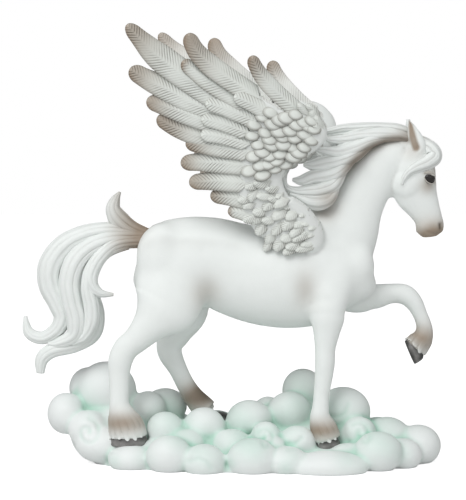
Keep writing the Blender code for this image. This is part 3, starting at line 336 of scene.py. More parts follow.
# Ruffled tufts lower down: x, z of the middle, way the tip points in degrees (180 is back), length, width.
RUFFLES = [
    (9.2, 133.6, 205, 7, 5.6), (14, 135.2, 188, 8, 5.6), (10.4, 128.2, 240, 6.4, 4.8),
    (15.6, 128.6, 186, 8, 5.2), (12.9, 121.9, 205, 7, 6), (18, 123.6, 215, 7.4, 5.8),
    (8.8, 118, 205, 8, 5.6), (17.2, 117.7, 195, 6.4, 5.4), (22.8, 119.2, 215, 8, 6),
    (13.8, 112.6, 235, 7.4, 5.6), (21, 112.8, 240, 7, 5.4), (27, 114.4, 225, 7.4, 6),
    (18.2, 108.2, 240, 6.6, 5.4), (25.9, 109.4, 215, 6.8, 6.2), (23.2, 104.6, 225, 7.4, 5.4),
    (19.6, 132.4, 190, 8, 5.6), (20.4, 128, 195, 7, 5), (23.4, 124.4, 210, 7, 5),
    (28.4, 119.4, 220, 7, 5.4), (29.6, 105.6, 205, 9, 4.6), (33.6, 108.6, 200, 10, 4.2),
    (34.4, 103.6, 195, 9, 4), (37, 106.4, 200, 9, 3.8), (31, 111, 215, 8, 4.4), (27.4, 102.4, 205, 7, 4),
    (36.4, 112, 205, 8, 4), (40.6, 159.6, 118, 8, 3.6), (41.6, 163.6, 122, 8, 3.6),
    (39.8, 166.6, 125, 8, 3.6), (38, 169.4, 132, 8, 3.6), (37.2, 160.6, 125, 8, 3.8),
    (34.6, 170.4, 142, 8, 3.6), (8, 123.4, 200, 6, 5), (5.4, 126.8, 190, 6, 4.6),
    (16.6, 104.6, 235, 5.6, 4.4), (12.4, 116.6, 215, 6.4, 5), (32.6, 115.8, 215, 8, 5),
    (36.6, 116.8, 212, 8, 4.4), (31.6, 121.6, 222, 8, 4.6), (34.8, 120.6, 218, 7, 4),
    (27.2, 124.8, 225, 7, 4.6), (39.4, 110.2, 205, 7, 3.8), (39.2, 114, 210, 6.6, 3.6),
    (23.4, 129.4, 215, 6.4, 4.4),
]

# Cloud: centre, half sizes of the mound under the billows, then of each billow.
MOUND = [
    ((9, 1, -1), (76, 33, 12)), ((-58, 10, 12), (21, 19, 16)), ((42, 10, 8), (34, 22, 12)),
    ((-18, 8, 6), (34, 26, 13)), ((72, 2, 3), (22, 22, 11)), ((28, 14, 14), (24, 16, 14)),
]
CLOUD = [
    ((-62, -6, 9.5), (13.4, 11, 9.4)), ((-48, -18, 4), (11, 9.6, 7)), ((-29.5, -25.4, 7), (11, 10, 9.6)),
    ((-13, -29, 4.6), (10, 9.6, 8.6)), ((9.6, -29, 6), (12, 10.4, 10)),
    ((26, -28.6, 4.4), (10, 9.6, 7.6)), ((45, -30, 2.4), (19, 11, 7.6)),
    ((69, -22, 7.8), (11.6, 11, 10.2)), ((81, -14, 5.4), (9.6, 10, 8)), ((90, -1, 8), (11, 12, 10)),
    ((75, 2, 10.6), (12, 12, 10.8)), ((-69, -3, 16), (10, 9, 9.4)), ((-80.6, 5, 22.6), (9.2, 10, 10.2)),
    ((-61.6, 14, 32), (15, 13.6, 15)), ((-70.6, 17, 33.4), (9.6, 9, 10.4)), ((-41, 9, 24), (9, 10, 9)),
    ((-33, 20, 24), (11, 10, 9)), ((-32, -8, 17), (9, 9, 8.4)), ((-13.4, -5, 17.4), (10.4, 10, 9.6)),
    ((8.4, 2, 19), (11.6, 11, 10.6)), ((16, -14, 15), (7, 7, 6.6)), ((31, -14, 11.6), (9, 8, 8)),
    ((28, 7, 22.6), (11, 11, 10.4)), ((35, 21, 31.6), (10.4, 10.4, 11)), ((54, 5, 23.6), (13.4, 12, 12)),
    ((17.6, 16, 22), (7.6, 8, 7.4)), ((61, -9, 16), (8, 8, 7)), ((-10, 15, 11), (13, 12, 10.6)),
    ((-48, 28, 13), (15, 12.4, 13)), ((-64, 25, 14), (13.4, 12.4, 14)), ((-28, 33, 9), (12, 10, 10)),
    ((-8, 33, 9.6), (12.6, 10.4, 10.6)), ((14, 33, 10), (12.6, 10.4, 11)),
    ((36, 32, 11), (13.6, 10.6, 12)), ((56, 26, 11), (13, 11.4, 11)), ((72, 18, 9), (12, 11, 10)),
    ((-50, -4, 4), (14, 12, 7)), ((44, -12, 3), (15, 13, 6.4)), ((60, -2, 11), (13, 12, 10)),
    ((-36, -13, 6), (9, 9, 7)), ((0, -14, 9), (10, 9, 9)), ((18, -20, 8), (9, 8, 8)),
    ((55, -19, 5), (10, 8, 7)), ((-22, -14, 9), (10, 9, 9)),
]

# Airbrushed paint: x, y, z, reach sideways, reach up and down, strength. The first table is for both sides.
# The spots near x 44 and 46, in the hollow under the mane's lower end, are partly painted shade.
BEIGE_SPOTS = [
    (96, 0, 110.2, 10, 6.8, 1.35), (99.4, 3, 113, 3.6, 3.6, 0.9), (93.4, 5.6, 133.4, 4.4, 4, 0.6),
    (94.5, 5.4, 139, 3.6, 2.2, 0.6), (97.2, 3, 138, 2.6, 5, 0.7), (44, 10, 122.6, 6, 6, 0.6),
    (-12.6, 15, 82.6, 7, 8, 0.4), (34.6, 16, 85, 5.4, 9, 0.4), (-44, 0, 109, 9, 8, 0.6),
    (86, 5, 149, 5, 4, 0.3),
]
FOOT_BEIGE = [
    (-51.5, -12, 20.8, 11, 5.2, 1.4), (43.4, -12.5, 17.6, 9, 5, 1.5), (-17, 12, 30, 9, 7, 1.4),
    (91.6, 10.5, 58.6, 9, 7, 1.2),
]
FOOT_BROWN = [(-15, 12, 30, 8, 5.4, 0.95), (91, 10.5, 55, 8, 4, 0.25)]
MANE_BEIGE = [(46, 10, 127, 7, 5, 0.8), (84, 3, 156.6, 7, 4, 0.7)]
# Pale green sprayed on the cloud: x, z, reach, strength.
MIST = [
    (-67, 27, 6, 0.45), (-73, 34, 6, 0.3), (-56, 4, 4, 0.6), (-38, 20, 6, 0.6), (-41, 6, 5, 0.6),
    (-28, 24, 7, 0.9), (-24, 17, 6, 0.8), (-14, 12, 9, 0.8), (-10, 5, 5, 0.5), (-1, 5, 3, 0.9),
    (5, 17, 9, 1), (0, 23, 6, 0.5), (12, 12, 6, 0.6), (22, 20, 6, 0.8), (25, 3, 4, 0.8), (31, 22, 7, 0.6),
    (35, 33, 9, 0.7), (39, 25, 6, 0.8), (50, 26, 8, 0.7), (50, 18, 6, 0.7), (54, 8, 6, 0.6),
    (62, 4, 4, 0.5), (66, 17, 8, 0.8), (72, 12, 6, 0.5), (80, 8, 5, 0.6), (77, 20, 6, 0.5),
    (28, 9, 5, 0.5), (-22, 2, 3, 0.5),
]
MIST_MOST = 0.9
# Where the mane meets the neck: x, z.
MANE_EDGE = [(84, 155.2), (79.5, 155.5), (75, 154.8), (70, 153), (65, 150.6), (60, 146.6), (55, 141.8),
             (51, 137.4), (49.4, 133), (48.6, 129), (45.6, 125), (42.6, 122.4)]


def srgb(red, green, blue):
    """Linear colour from 0-255 display values."""
    values = [v / 255 for v in (red, green, blue)]
    return (*[v / 12.92 if v <= 0.04045 else ((v + 0.055) / 1.055) ** 2.4 for v in values], 1.0)


PAINT = {
    "white": srgb(236, 240, 238),
    "wing": srgb(222, 226, 221),
    # The far wing's paint is a lighter copy of the wing's: painted light.
    "far_wing": srgb(238, 240, 236),
    "hair": srgb(234, 238, 236),
    "cloud": srgb(236, 240, 239),
    "beige": srgb(152, 137, 121),
    # brown is mixed in by the shade paint: mostly painted shade, and brown paint on two feet
    "brown": srgb(94, 84, 72),
    "mint": srgb(168, 210, 192),
    "grey": srgb(150, 156, 150),
    "hoof": srgb(100, 99, 98),
    "worn_hoof": srgb(150, 148, 146),
    "dark_hoof": srgb(52, 53, 50),
    "eye": srgb(14, 12, 11),
    "pale_eye": srgb(40, 34, 30),
}


def spline(rows, shares):
    """Catmull-Rom through rows of equal length, at shares from 0 to 1."""
    rows = np.array(rows, float)
    last = len(rows) - 1
    at = np.clip(np.atleast_1d(shares) * last, 0, last - 1e-9)
    k = at.astype(int)
    t = (at - k)[:, None]
    a, b, c, d = (rows[np.clip(k + n, 0, last)] for n in (-1, 0, 1, 2))
    return 0.5 * (2 * b + (c - a) * t + (2 * a - 5 * b + 4 * c - d) * t**2 + (3 * b - a - 3 * c + d) * t**3)


def unit(rows):
    return rows / np.maximum(np.linalg.norm(rows, axis=-1, keepdims=True), 1e-9)


def loft(rings):
    """Points and faces of a closed skin through rings of equal count."""
    rows, cols = rings.shape[:2]
    k = np.arange(rows - 1)[:, None] * cols
    n = np.arange(cols)[None, :]
    m = (n + 1) % cols
    quads = np.stack([k + n, k + m, k + cols + m, k + cols + n], -1).reshape(-1, 4).tolist()
    quads.append(list(range(cols))[::-1])
    quads.append(list(range((rows - 1) * cols, rows * cols)))
    return rings.reshape(-1, 3), quads


def tangents(points):
    ahead = np.vstack([points[1:], points[-1:]])
    behind = np.vstack([points[:1], points[:-1]])
    return unit(ahead - behind)


def limb_rings(stations, sides, steps, radius=None):
    """Rings along stations of x, y, z, half depth, half width. radius gives a factor for each point."""
    shares = np.linspace(0, 1, (len(stations) - 1) * steps + 1)
    rows = spline(stations, shares)
    along = tangents(rows[:, :3])
    across = np.array([0.0, 1, 0])
    wide = unit(across - along * (along @ across)[:, None])
    deep = np.cross(wide, along)
    turn = np.arange(sides) * 2 * math.pi / sides
    factor = np.ones((len(rows), sides)) if radius is None else radius(shares[:, None], turn[None, :])
    a = (np.maximum(rows[:, 3:4], 0.2) * np.cos(turn) * factor)[..., None] * deep[:, None, :]
    b = (np.maximum(rows[:, 4:5], 0.2) * np.sin(turn) * factor)[..., None] * wide[:, None, :]
    return rows[:, None, :3] + a + b


def limb(stations, sides=24, steps=5):
    return loft(limb_rings(stations, sides, steps))


def ball(centre, sizes, segments=28, rings=14, turn=None):
    """Points and faces of an ellipsoid."""
    mesh = bmesh.new()
    place = Matrix.Translation(centre) @ (turn or Matrix.Identity(4)) @ Matrix.Diagonal((*sizes, 1))
    bmesh.ops.create_uvsphere(mesh, u_segments=segments, v_segments=rings, radius=1, matrix=place)
    points = np.array([v.co for v in mesh.verts])
    faces = [[v.index for v in f.verts] for f in mesh.faces]
    mesh.free()
    return points, faces


def gather(shapes):
    """Joins (points, faces) pairs into one pair."""
    points, faces, start = [], [], 0
    for some, more in shapes:
        points.append(some)
        faces += [[v + start for v in f] for f in more]
        start += len(some)
    return np.vstack(points), faces


def piece(name, points, faces, **paint):
    """An object from millimetre points, with its paint as point attributes."""
    data = bpy.data.meshes.new(name)
    data.from_pydata((points * MM).tolist(), [], faces)
    data.update()
    item = bpy.data.objects.new(name, data)
    bpy.context.scene.collection.objects.link(item)
    set_paint(data, paint)
    return item


def set_paint(data, paint):
    for key, values in paint.items():
        layer = data.attributes.new(key, "FLOAT", "POINT")
        layer.data.foreach_set("value", np.clip(values, 0, 1).astype(np.float32))


def outward(data):
    """Turns the faces of every closed shell outwards."""
    mesh = bmesh.new()
    mesh.from_mesh(data)
    bmesh.ops.recalc_face_normals(mesh, faces=mesh.faces)
    mesh.to_mesh(data)
    mesh.free()


def resin_piece(name, points, faces, beige, shade):
    """A piece of closed shells, painted without green."""
    item = piece(name, points, faces, beige=beige, shade=shade, green=np.zeros(len(points)))
    outward(item.data)
    return item


def smooth_shaded(item):
    item.data.polygons.foreach_set("use_smooth", [True] * len(item.data.polygons))
    item.data.update()


def skinned(name, shapes, voxel, passes):
    """One closed skin over overlapping shapes, softened, as an object."""
    rough = piece(name + "_rough", *gather(shapes))
    outward(rough.data)
    remesh = rough.modifiers.new("Skin", "REMESH")
    remesh.mode = "VOXEL"
    remesh.voxel_size = voxel * MM
    soften = rough.modifiers.new("Soften", "SMOOTH")
    soften.factor = 0.5
    soften.iterations = passes
    graph = bpy.context.evaluated_depsgraph_get()
    data = bpy.data.meshes.new_from_object(rough.evaluated_get(graph))
    data.name = name
    bpy.data.objects.remove(rough)
    item = bpy.data.objects.new(name, data)
    bpy.context.scene.collection.objects.link(item)
    return item


def read(data, kind, field, width, dtype=np.float32):
    """One field of a mesh's points or edges, a row for each."""
    values = np.empty(len(getattr(data, kind)) * width, dtype)
    getattr(data, kind).foreach_get(field, values)
    return values.reshape(-1, width)


def points_of(data):
    return read(data, "vertices", "co", 3).astype(float) / MM


def relaxed(points, edges, passes):
    """Points after each has moved half way to the mean of its neighbours, several times."""
    count = np.bincount(edges.ravel(), minlength=len(points))[:, None]
    for _ in range(passes):
        total = np.empty_like(points)
        for axis in range(3):
            value = points[:, axis]
            total[:, axis] = np.bincount(edges[:, 0], value[edges[:, 1]], len(points))
            total[:, axis] += np.bincount(edges[:, 1], value[edges[:, 0]], len(points))
        points = 0.5 * points + 0.5 * total / count
    return points


def hollow(data, passes):
    """How far each point lies below the softened surface, in millimetres. Creases are positive."""
    points = points_of(data)
    edges = read(data, "edges", "vertices", 2, np.int32)
    normals = read(data, "vertices", "normal", 3)
    return ((relaxed(points, edges, passes) - points) * normals).sum(1)


def step(low, high, values):
    """A smooth rise from 0 to 1 between two values."""
    t = np.clip((values - low) / (high - low), 0, 1)
    return t * t * (3 - 2 * t)


def gap_to_line(flat, line):
    """Distance in the side view from each point to a line of x, z."""
    line = spline(line, np.linspace(0, 1, 6 * len(line)))
    best = np.full(len(flat), np.inf)
    for start, end in zip(line, line[1:]):
        run = end - start
        share = np.clip((flat - start) @ run / max(run @ run, 1e-9), 0, 1)
        best = np.minimum(best, np.linalg.norm(flat - start - share[:, None] * run, axis=1))
    return best


def carve(data, line, width, depth, side):
    """Sinks a soft groove along a side-view line into one side of a mesh. Gives each point's depth."""
    points = points_of(data)
    normals = read(data, "vertices", "normal", 3)
    gap = gap_to_line(points[:, [0, 2]], line)
    facing = np.clip(normals[:, 1] * side * 3, 0, 1) * (points[:, 1] * side > -2)
    sunk = depth * np.exp(-((gap / width) ** 2)) * facing
    points -= normals * sunk[:, None]
    data.vertices.foreach_set("co", (points * MM).astype(np.float32).ravel())
    data.update()
    return sunk


def carve_both(data, line, width, depth):
    return sum(carve(data, line, width, depth, side) for side in SIDES)


def spots(points, table):
    """Strength of soft spots of paint at each point."""
    total = np.zeros(len(points))
    for x, y, z, wide, tall, strength in table:
        away = (points - (x, y, z)) / (wide, wide, tall)
        total = np.maximum(total, strength * np.exp(-(away**2).sum(1)))
    return total


def mist(points):
    """Strength of the green spray at each point of the cloud."""
    clear = np.ones(len(points))
    for x, z, reach, strength in MIST:
        away = np.hypot(points[:, 0] - x, points[:, 2] - z) / reach
        clear *= 1 - MIST_MOST * strength * np.exp(-(away**2))
    return 1 - clear


def mane_shadow(points, width):
    """Strength of the brown shade where hair and neck meet."""
    near = np.exp(-((gap_to_line(points[:, [0, 2]], MANE_EDGE) / width) ** 2))
    return near * step(-2, 3, np.abs(points[:, 1]))


def wing_points(x, z, lift):
    """Points over the near wing's middle surface.

    The tables hold what the camera sees, so what lies nearer to it is made smaller.
    """
    out = WING_ROOT_OUT + WING_LEAN * (z - WING_ROOT_Z) + WING_FLARE * np.maximum(0, WING_FRONT_X - x)
    shrink = 1 - out / SEEN_FROM
    rise = (z - EYE_Z) * shrink
    rise = np.where(rise > 0, rise * TOP_SQUEEZE, rise)
    return np.stack([x * shrink, -out - lift, EYE_Z + rise], -1)


def wing_outwards():
    """The way the near wing's face looks."""
    return unit(np.array([0, -1.0, WING_LEAN]))


def table_at(table, share):
    """Linear reading of rows that start with a share."""
    shares = [row[0] for row in table]
    return np.interp(share, shares, [row[1] for row in table])


def fan_at(share):
    """How far the coverts reach from the arm at a share of it, and the way they point."""
    reach = table_at(FAN, share)
    shares = [row[0] for row in FAN]
    way = np.array([np.interp(share, shares, [row[2][axis] for row in FAN]) for axis in (0, 1)])
    return reach, way


def arm_share(x, z):
    """Share of the arm that a feather springs from, and how far out its point lies."""
    shares = np.linspace(0, 1, ARM_STEPS)
    arm = spline(ARM, shares)
    best, found = np.inf, (0, 0)
    for share, (ax, az) in zip(shares, arm):
        _, way = fan_at(share)
        offset = np.array([x - ax, z - az])
        out = offset @ way
        miss = np.linalg.norm(offset - way * out) + max(0, -out - PLATE_MARGIN) * 2
        if miss < best:
            best, found = miss, (share, out)
    return found


def plate_height(share, out):
    """Half thickness of the wing's plate at a distance from the arm."""
    reach = table_at(FAN, share)
    where = (out - reach / 2) / (reach / 2 + PLATE_MARGIN)
    return table_at(PLATE, share) * math.sqrt(max(0.0, 1 - min(1.0, where * where)))


def solved_edges(spine, half, slant):
    """Where the barb that leaves the quill at spine meets the edge."""
    low, high = np.zeros_like(spine), spine.copy()
    for _ in range(26):
        middle = (low + high) / 2
        short = middle + slant * half(middle) < spine
        low = np.where(short, middle, low)
        high = np.where(short, high, middle)
    return (low + high) / 2


def vane(outline, width, lifts, thickness, roll=0.0, barbs=BARB_PITCH, depth=BARB_DEPTH, columns=6,
         slant=1.0, blunt=0.42, swell=0.3, seed=0.0):
    """A feather as V-shaped rows of barbs from the tip to the root.

    Gives its rings, and for each point t, the way from the tip, q, from -1 to 1 across, and its groove.
    """
    fine = spline(outline, np.linspace(0, 1, 80))
    steps = np.linalg.norm(np.diff(fine, axis=0), axis=1)
    length = steps.sum()
    places = np.concatenate([[0], np.cumsum(steps)])
    share = places / length
    middle = wing_points(fine[:, 0], fine[:, 1], lifts[1] + (lifts[0] - lifts[1]) * share)
    along = tangents(middle)
    outwards = wing_outwards()
    normal = unit(outwards - along * (along @ outwards)[:, None])
    across = np.cross(normal, along)
    lean = math.radians(roll)
    wide = across * math.cos(lean) + normal * math.sin(lean)
    up = normal * math.cos(lean) - across * math.sin(lean)

    def half(t):
        tip = np.sqrt(np.clip(1 - (1 - np.clip(t / (blunt * width), 0, 1)) ** 2, 0, 1))
        return width / 2 * ((1 - swell) * tip + swell * step(0, 2 * width, t))

    def at(table, t):
        return np.stack([np.interp(t, places, table[:, axis]) for axis in range(3)], -1)

    rows = max(14, int(length / barbs * BARB_ROWS))
    spine = np.linspace(0.12, length, rows)
    edge = solved_edges(spine, half, slant)
    q = np.sin(np.linspace(-1, 1, 2 * columns + 1) * math.pi / 2)
    t = spine[:, None] - (spine - edge)[:, None] * np.abs(q)
    wide_here = half(edge)[:, None]
    reach = wide_here * q
    small = np.clip(wide_here / 2, 0, 1)
    phase = np.arange(rows) % BARB_ROWS / BARB_ROWS
    beside_quill = 1 - np.exp(-((q / QUILL_GROOVE) ** 2))
    groove = (np.maximum(0, np.cos(phase * 2 * math.pi)) ** 1.5)[:, None] * beside_quill
    groove = groove * (0.62 + 0.38 * np.sin(0.32 * t + seed)) * small
    quill = QUILL_HEIGHT * np.exp(-((q / QUILL_WIDTH) ** 2)) * small
    body = thickness / 2 * np.sqrt(np.clip(1 - q**4, 0, 1)) * np.clip(wide_here / 1.2, 0.1, 1)
    height = body + quill - depth * groove
    place, side, lifted = at(middle, t), at(wide, t), at(up, t)
    front = place + side * reach[..., None] + lifted * height[..., None]
    back = place + side * reach[..., None] - lifted * height[..., None]
    rings = np.concatenate([front, back[:, -2:0:-1]], axis=1)
    ts = np.concatenate([t, t[:, -2:0:-1]], axis=1)
    qs = np.concatenate([np.tile(q, (rows, 1)), np.tile(q[-2:0:-1], (rows, 1))], axis=1)
    cuts = np.concatenate([groove, groove[:, -2:0:-1]], axis=1)
    return rings, ts.ravel(), qs.ravel(), cuts.ravel()


def add_vane(parts, beige_reach, *args, edge_shade=0.32, root_shade=0.0, **more):
    """Adds a feather and its paint: beige from the tip, and painted shade, brown, in the grooves, along the
    edges and at the root.
    """
    rings, t, q, groove = vane(*args, **more)
    points, faces = loft(rings)
    near_tip = np.exp(-((t / beige_reach) ** 2)) if beige_reach else np.zeros(len(t))
    lower_edge = np.clip(-q, 0, 1) ** 3 * np.exp(-t / EDGE_BEIGE_REACH) * (beige_reach > 0)
    beige = TIP_BEIGE * near_tip + EDGE_BEIGE * lower_edge
    # Painted shade: darker in the barb grooves, more so near the tip, and along the edges where feathers
    # overlap.
    shade = groove * (0.6 + 0.3 * near_tip) + edge_shade * np.abs(q) ** 6
    # Painted shade towards the root, where the neighbours' tips lie over it.
    shade = shade + root_shade * step(0.35, 0.8, t / t.max())
    parts.append((points, faces, beige, shade))


def wing_plate():
    """The solid of the wing under its coverts."""
    shares = np.linspace(0, 1, ARM_STEPS)
    arm = spline(ARM, shares)
    outwards = wing_outwards()
    turn = np.arange(48) * 2 * math.pi / 48
    rings = []
    for share, (x, z) in zip(shares, arm):
        reach, way = fan_at(share)
        thick = table_at(PLATE, share)
        out = reach / 2 + (reach / 2 + PLATE_MARGIN) * np.cos(turn)
        flat = wing_points(x + way[0] * out, z + way[1] * out, 0)
        rings.append(flat + outwards * (thick * np.sin(turn))[:, None])
    return loft(np.array(rings))


def wing_limb(stations, thick):
    """A thick bend of the wing: stations of x, z, half depth."""
    rows = [(*wing_points(np.array(x), np.array(z), 0), half, thick) for x, z, half in stations]
    return limb(rows, 28, 6)


def wing_solids():
    """The smooth parts of both wings, which melt into the body."""
    made = [wing_plate(), wing_limb(WRIST, WRIST_HALF), wing_limb(SHOULDER, SHOULDER_HALF)]
    far = [wing_plate(), wing_limb(FAR_WRIST, WRIST_HALF), wing_limb(SHOULDER, SHOULDER_HALF)]
    return made + [(raised_far(points), faces) for points, faces in far]


def raised_far(points):
    """Points of the near wing mirrored to the far side, and turned a little forward about the shoulder."""
    pivot = np.array([WING_FRONT_X, 0, WING_ROOT_Z])
    turn = np.array(Matrix.Rotation(math.radians(FAR_WING_TURN), 3, "Y"))
    return (points * (1, -1, 1) - pivot) * (FAR_WING_SIZE, 1, FAR_WING_SIZE) @ turn.T + pivot


def long_feathers(table):
    """The long feathers of one wing, and the middle feathers on both its faces."""
    parts = []
    for k, (outline, width, beige) in enumerate(table):
        back = k in ROLLED_BACK
        lift = 0.4 * (k % 2) + (0.5 if k in (2, 3) else 0)
        lifts = (-0.9 if back else lift, lift)
        roll = -FEATHER_ROLL if back else FEATHER_ROLL
        swell = FIRST_SWELL if k == 0 else 0.3
        look = {"roll": roll, "seed": k * 1.9, "swell": swell}
        add_vane(parts, beige, outline, width, lifts, FEATHER_THICKNESS, **look)
    for k, (outline, width) in enumerate(MIDDLE_FEATHERS):
        for face in (1, -1):
            lifts = [face * lift for lift in MIDDLE_LIFTS]
            # The last setting is the painted shade along their edges.
            add_vane(parts, 0, outline, width, lifts, MIDDLE_THICKNESS, roll=MIDDLE_ROLL * face, seed=k,
                     blunt=0.5, swell=0.12, depth=0.3, edge_shade=0.3)
    return parts


def bend_height(flat):
    """Half thickness of the wrist and the shoulder at a side-view place."""
    best = 0.0
    for stations, thick in ((WRIST, WRIST_HALF), (SHOULDER, SHOULDER_HALF)):
        rows = spline(stations, np.linspace(0, 1, 30))
        away = np.linalg.norm(rows[:, :2] - flat, axis=1) / rows[:, 2]
        best = max(best, thick * math.sqrt(max(0.0, 1 - away.min() ** 2)))
    return best


def wing_height(flat):
    """Half thickness of the wing at a side-view place."""
    share, out = arm_share(*flat)
    return max(plate_height(share, out), bend_height(flat))


def turned(way, degrees):
    """A side-view direction, turned."""
    c, s = math.cos(math.radians(degrees)), math.sin(math.radians(degrees))
    return np.array([way[0] * c - way[1] * s, way[0] * s + way[1] * c])


def scale(middle, way, size, face):
    """A small covert: an oval pillow, higher at its tip, with painted shade round its rim and at its root
    end.
    """
    lift = face * (max(wing_height(middle), SCALE_LEAST_HEIGHT) + SCALE_LIFT)
    centre = wing_points(*middle, lift)
    outwards = face * wing_outwards()
    along = unit(unit(wing_points(*(middle + way), lift) - centre) + SCALE_TILT * outwards)
    normal = unit(outwards - along * (along @ outwards))
    axes = np.array([along, np.cross(normal, along), normal])
    halves = np.array(SCALE_SIZE) / 2 * size
    points, faces = ball(centre, halves, 20, 10, Matrix(axes.T.tolist()).to_4x4())
    flat = (points - centre) @ axes.T / halves
    level = np.sign(flat[:, 2]) * np.abs(flat[:, 2]) ** SCALE_FLATNESS
    points = points + np.outer((level - flat[:, 2]) * halves[2], normal)
    # Painted shade: darker round the rim, where the scales meet, and at the root end under the neighbours'
    # tips.
    rim = step(0.55, 1.0, np.hypot(flat[:, 0], flat[:, 1]))
    return points, faces, np.zeros(len(points)), 0.5 * rim + 0.15 * step(0.4, -0.8, flat[:, 0])


def covert_root(middle, way, longest):
    """Where a covert springs from: as far back as the wing is thick enough to hide its root."""
    for behind in np.arange(longest, 1.0, -0.5):
        if wing_height(middle - way * behind) > ROOT_COVER:
            break
    return middle - way * behind


def coverts():
    """Scales and ruffled tufts on both faces of a wing."""
    parts = []
    for k, middle in enumerate(np.array(SCALES)):
        way = turned(fan_at(arm_share(*middle)[0])[1], SCALE_TURN + 9 * math.sin(k * 2.4))
        size = 1 + 0.09 * math.sin(k * 1.7)
        parts += [scale(middle, way, size, face) for face in (1, -1)]
    for k, (x, z, turn, length, width) in enumerate(RUFFLES):
        way = turned((1, 0), turn)
        middle = np.array([x, z])
        tip, root = middle + way * length / 2, covert_root(middle, way, length * 0.7)
        outline = [tip, middle + turned(way, 90) * RUFFLE_BEND * math.sin(k * 2.1), root]
        sunk = wing_height(root) - RUFFLE_SINK
        raised = max(wing_height(tip), RUFFLE_LEAST_HEIGHT) + RUFFLE_RISE
        for face in (1, -1):
            lifts = (face * sunk, face * raised)
            add_vane(parts, 0, outline, width * RUFFLE_WIDENING, lifts, RUFFLE_THICKNESS, seed=k * 1.3,
                     **RUFFLE_LOOK)
    return parts


def painted_wing(name, parts, mirrored):
    """Feathers or coverts of one wing as a piece."""
    points, faces = gather([part[:2] for part in parts])
    beige = np.concatenate([part[2] for part in parts])
    shade = np.concatenate([part[3] for part in parts])
    return resin_piece(name, raised_far(points) if mirrored else points, faces, beige, shade)


def strands(count, depth, twist):
    """A ring factor that cuts broad and fine grooves between strands of hair."""
    def radius(share, turn):
        broad = np.abs(np.cos(count * turn / 2 + twist * share)) ** 0.6
        fine = np.abs(np.cos((3 * count + 1) * turn / 2 + 1.4 * twist * share + 1)) ** 0.5
        return 1 - depth * (1 - broad) - 0.35 * depth * (1 - fine)
    return radius


def hair(locks, count, depth, groove_shade):
    """Locks of hair as grooved lofts, with painted shade, brown, in their grooves."""
    shapes, shades = [], []
    for k, lock in enumerate(locks):
        cut = strands(count + k % 2, depth, 2.2 * math.sin(k * 1.3 + 0.5))
        rings = limb_rings(lock, LOCK_POINTS, LOCK_STEPS, cut)
        shares = np.linspace(0, 1, rings.shape[0])[:, None]
        turn = np.arange(LOCK_POINTS)[None, :] * 2 * math.pi / LOCK_POINTS
        shapes.append(loft(rings))
        # Painted shade: the deeper the groove between strands, the darker.
        shades.append(groove_shade * np.clip((1 - cut(shares, turn)) / (1.35 * depth), 0, 1).ravel() ** 1.5)
    points, faces = gather(shapes)
    return points, faces, np.concatenate(shades)


def mane():
    """The mane and the forelock, with painted shade, beige and brown, where they meet the neck."""
    points, faces, shade = hair(MANE + FORELOCK, count=6, depth=0.13, groove_shade=0.45)
    # Painted shade where the hair meets the neck, beige and brown.
    neck_shadow = mane_shadow(points, MANE_SHADE_REACH) * step(47, 58, points[:, 0])
    beige = np.maximum(0.8 * neck_shadow, spots(points * (1, -1, 1), MANE_BEIGE))
    shade = np.maximum(shade, 0.5 * neck_shadow)
    return resin_piece("mane", points, faces, beige, shade)


def tail():
    """The tail, beige at its root, with painted shade in its grooves that is strongest there."""
    points, faces, shade = hair(TAIL, count=8, depth=0.11, groove_shade=0.24)
    root = step(-64, -44, points[:, 0])
    # Beige paint at the root, more in the grooves; the painted shade in the grooves is strongest at the
    # root too.
    beige = root * (0.95 + 0.9 * shade)
    return resin_piece("tail", points, faces, beige, shade * (0.6 + 1.2 * root))


def tucked(stations):
    """Stations whose first ring is narrowed, so that the limb grows out of what it starts in."""
    x, y, z, deep, wide = stations[0]
    return [(x, y, z, deep * 0.7, wide * 0.7), *stations[1:]]


def horse_core():
    """Trunk, neck and the tops of the legs, softened until they flow into each other."""
    trunk = [(x, 0, (top + low) / 2, (top - low) / 2, half) for x, top, low, half in TRUNK]
    shapes = [limb(trunk, 36), limb(NECK)]
    shapes += [limb(leg[:THICK_STATIONS]) for leg in LEGS]
    shapes += [ball(*row) for row in MUSCLES]
    core = skinned("core", shapes, CORE_VOXEL, CORE_PASSES)
    made = points_of(core.data), [list(f.vertices) for f in core.data.polygons]
    bpy.data.objects.remove(core)
    return made


def horse():
    """Trunk, neck, head, ears, legs and the wings' solids as one smooth skin, then its fine creases."""
    shapes = [horse_core(), limb(HEAD, 32)]
    shapes += [limb(tucked(leg[k:])) for leg, k in zip(LEGS, LOWER_STARTS)]
    shapes += [ball(*row) for row in CHEEKS]
    shapes += [limb([(x, y * side, z, deep, wide) for x, y, z, deep, wide in EAR], 20) for side in SIDES]
    item = skinned("horse", shapes + wing_solids(), HORSE_VOXEL, HORSE_PASSES)
    ears = carve_both(item.data, *EAR_HOLLOW)
    nostrils = carve_both(item.data, *NOSTRIL)
    mouth = carve_both(item.data, *MOUTH)
    carve_both(item.data, *JAW)
    carve(item.data, *NEAR_ELBOW, NEAR)
    paint_horse(item.data, ears, nostrils, mouth)
    return item


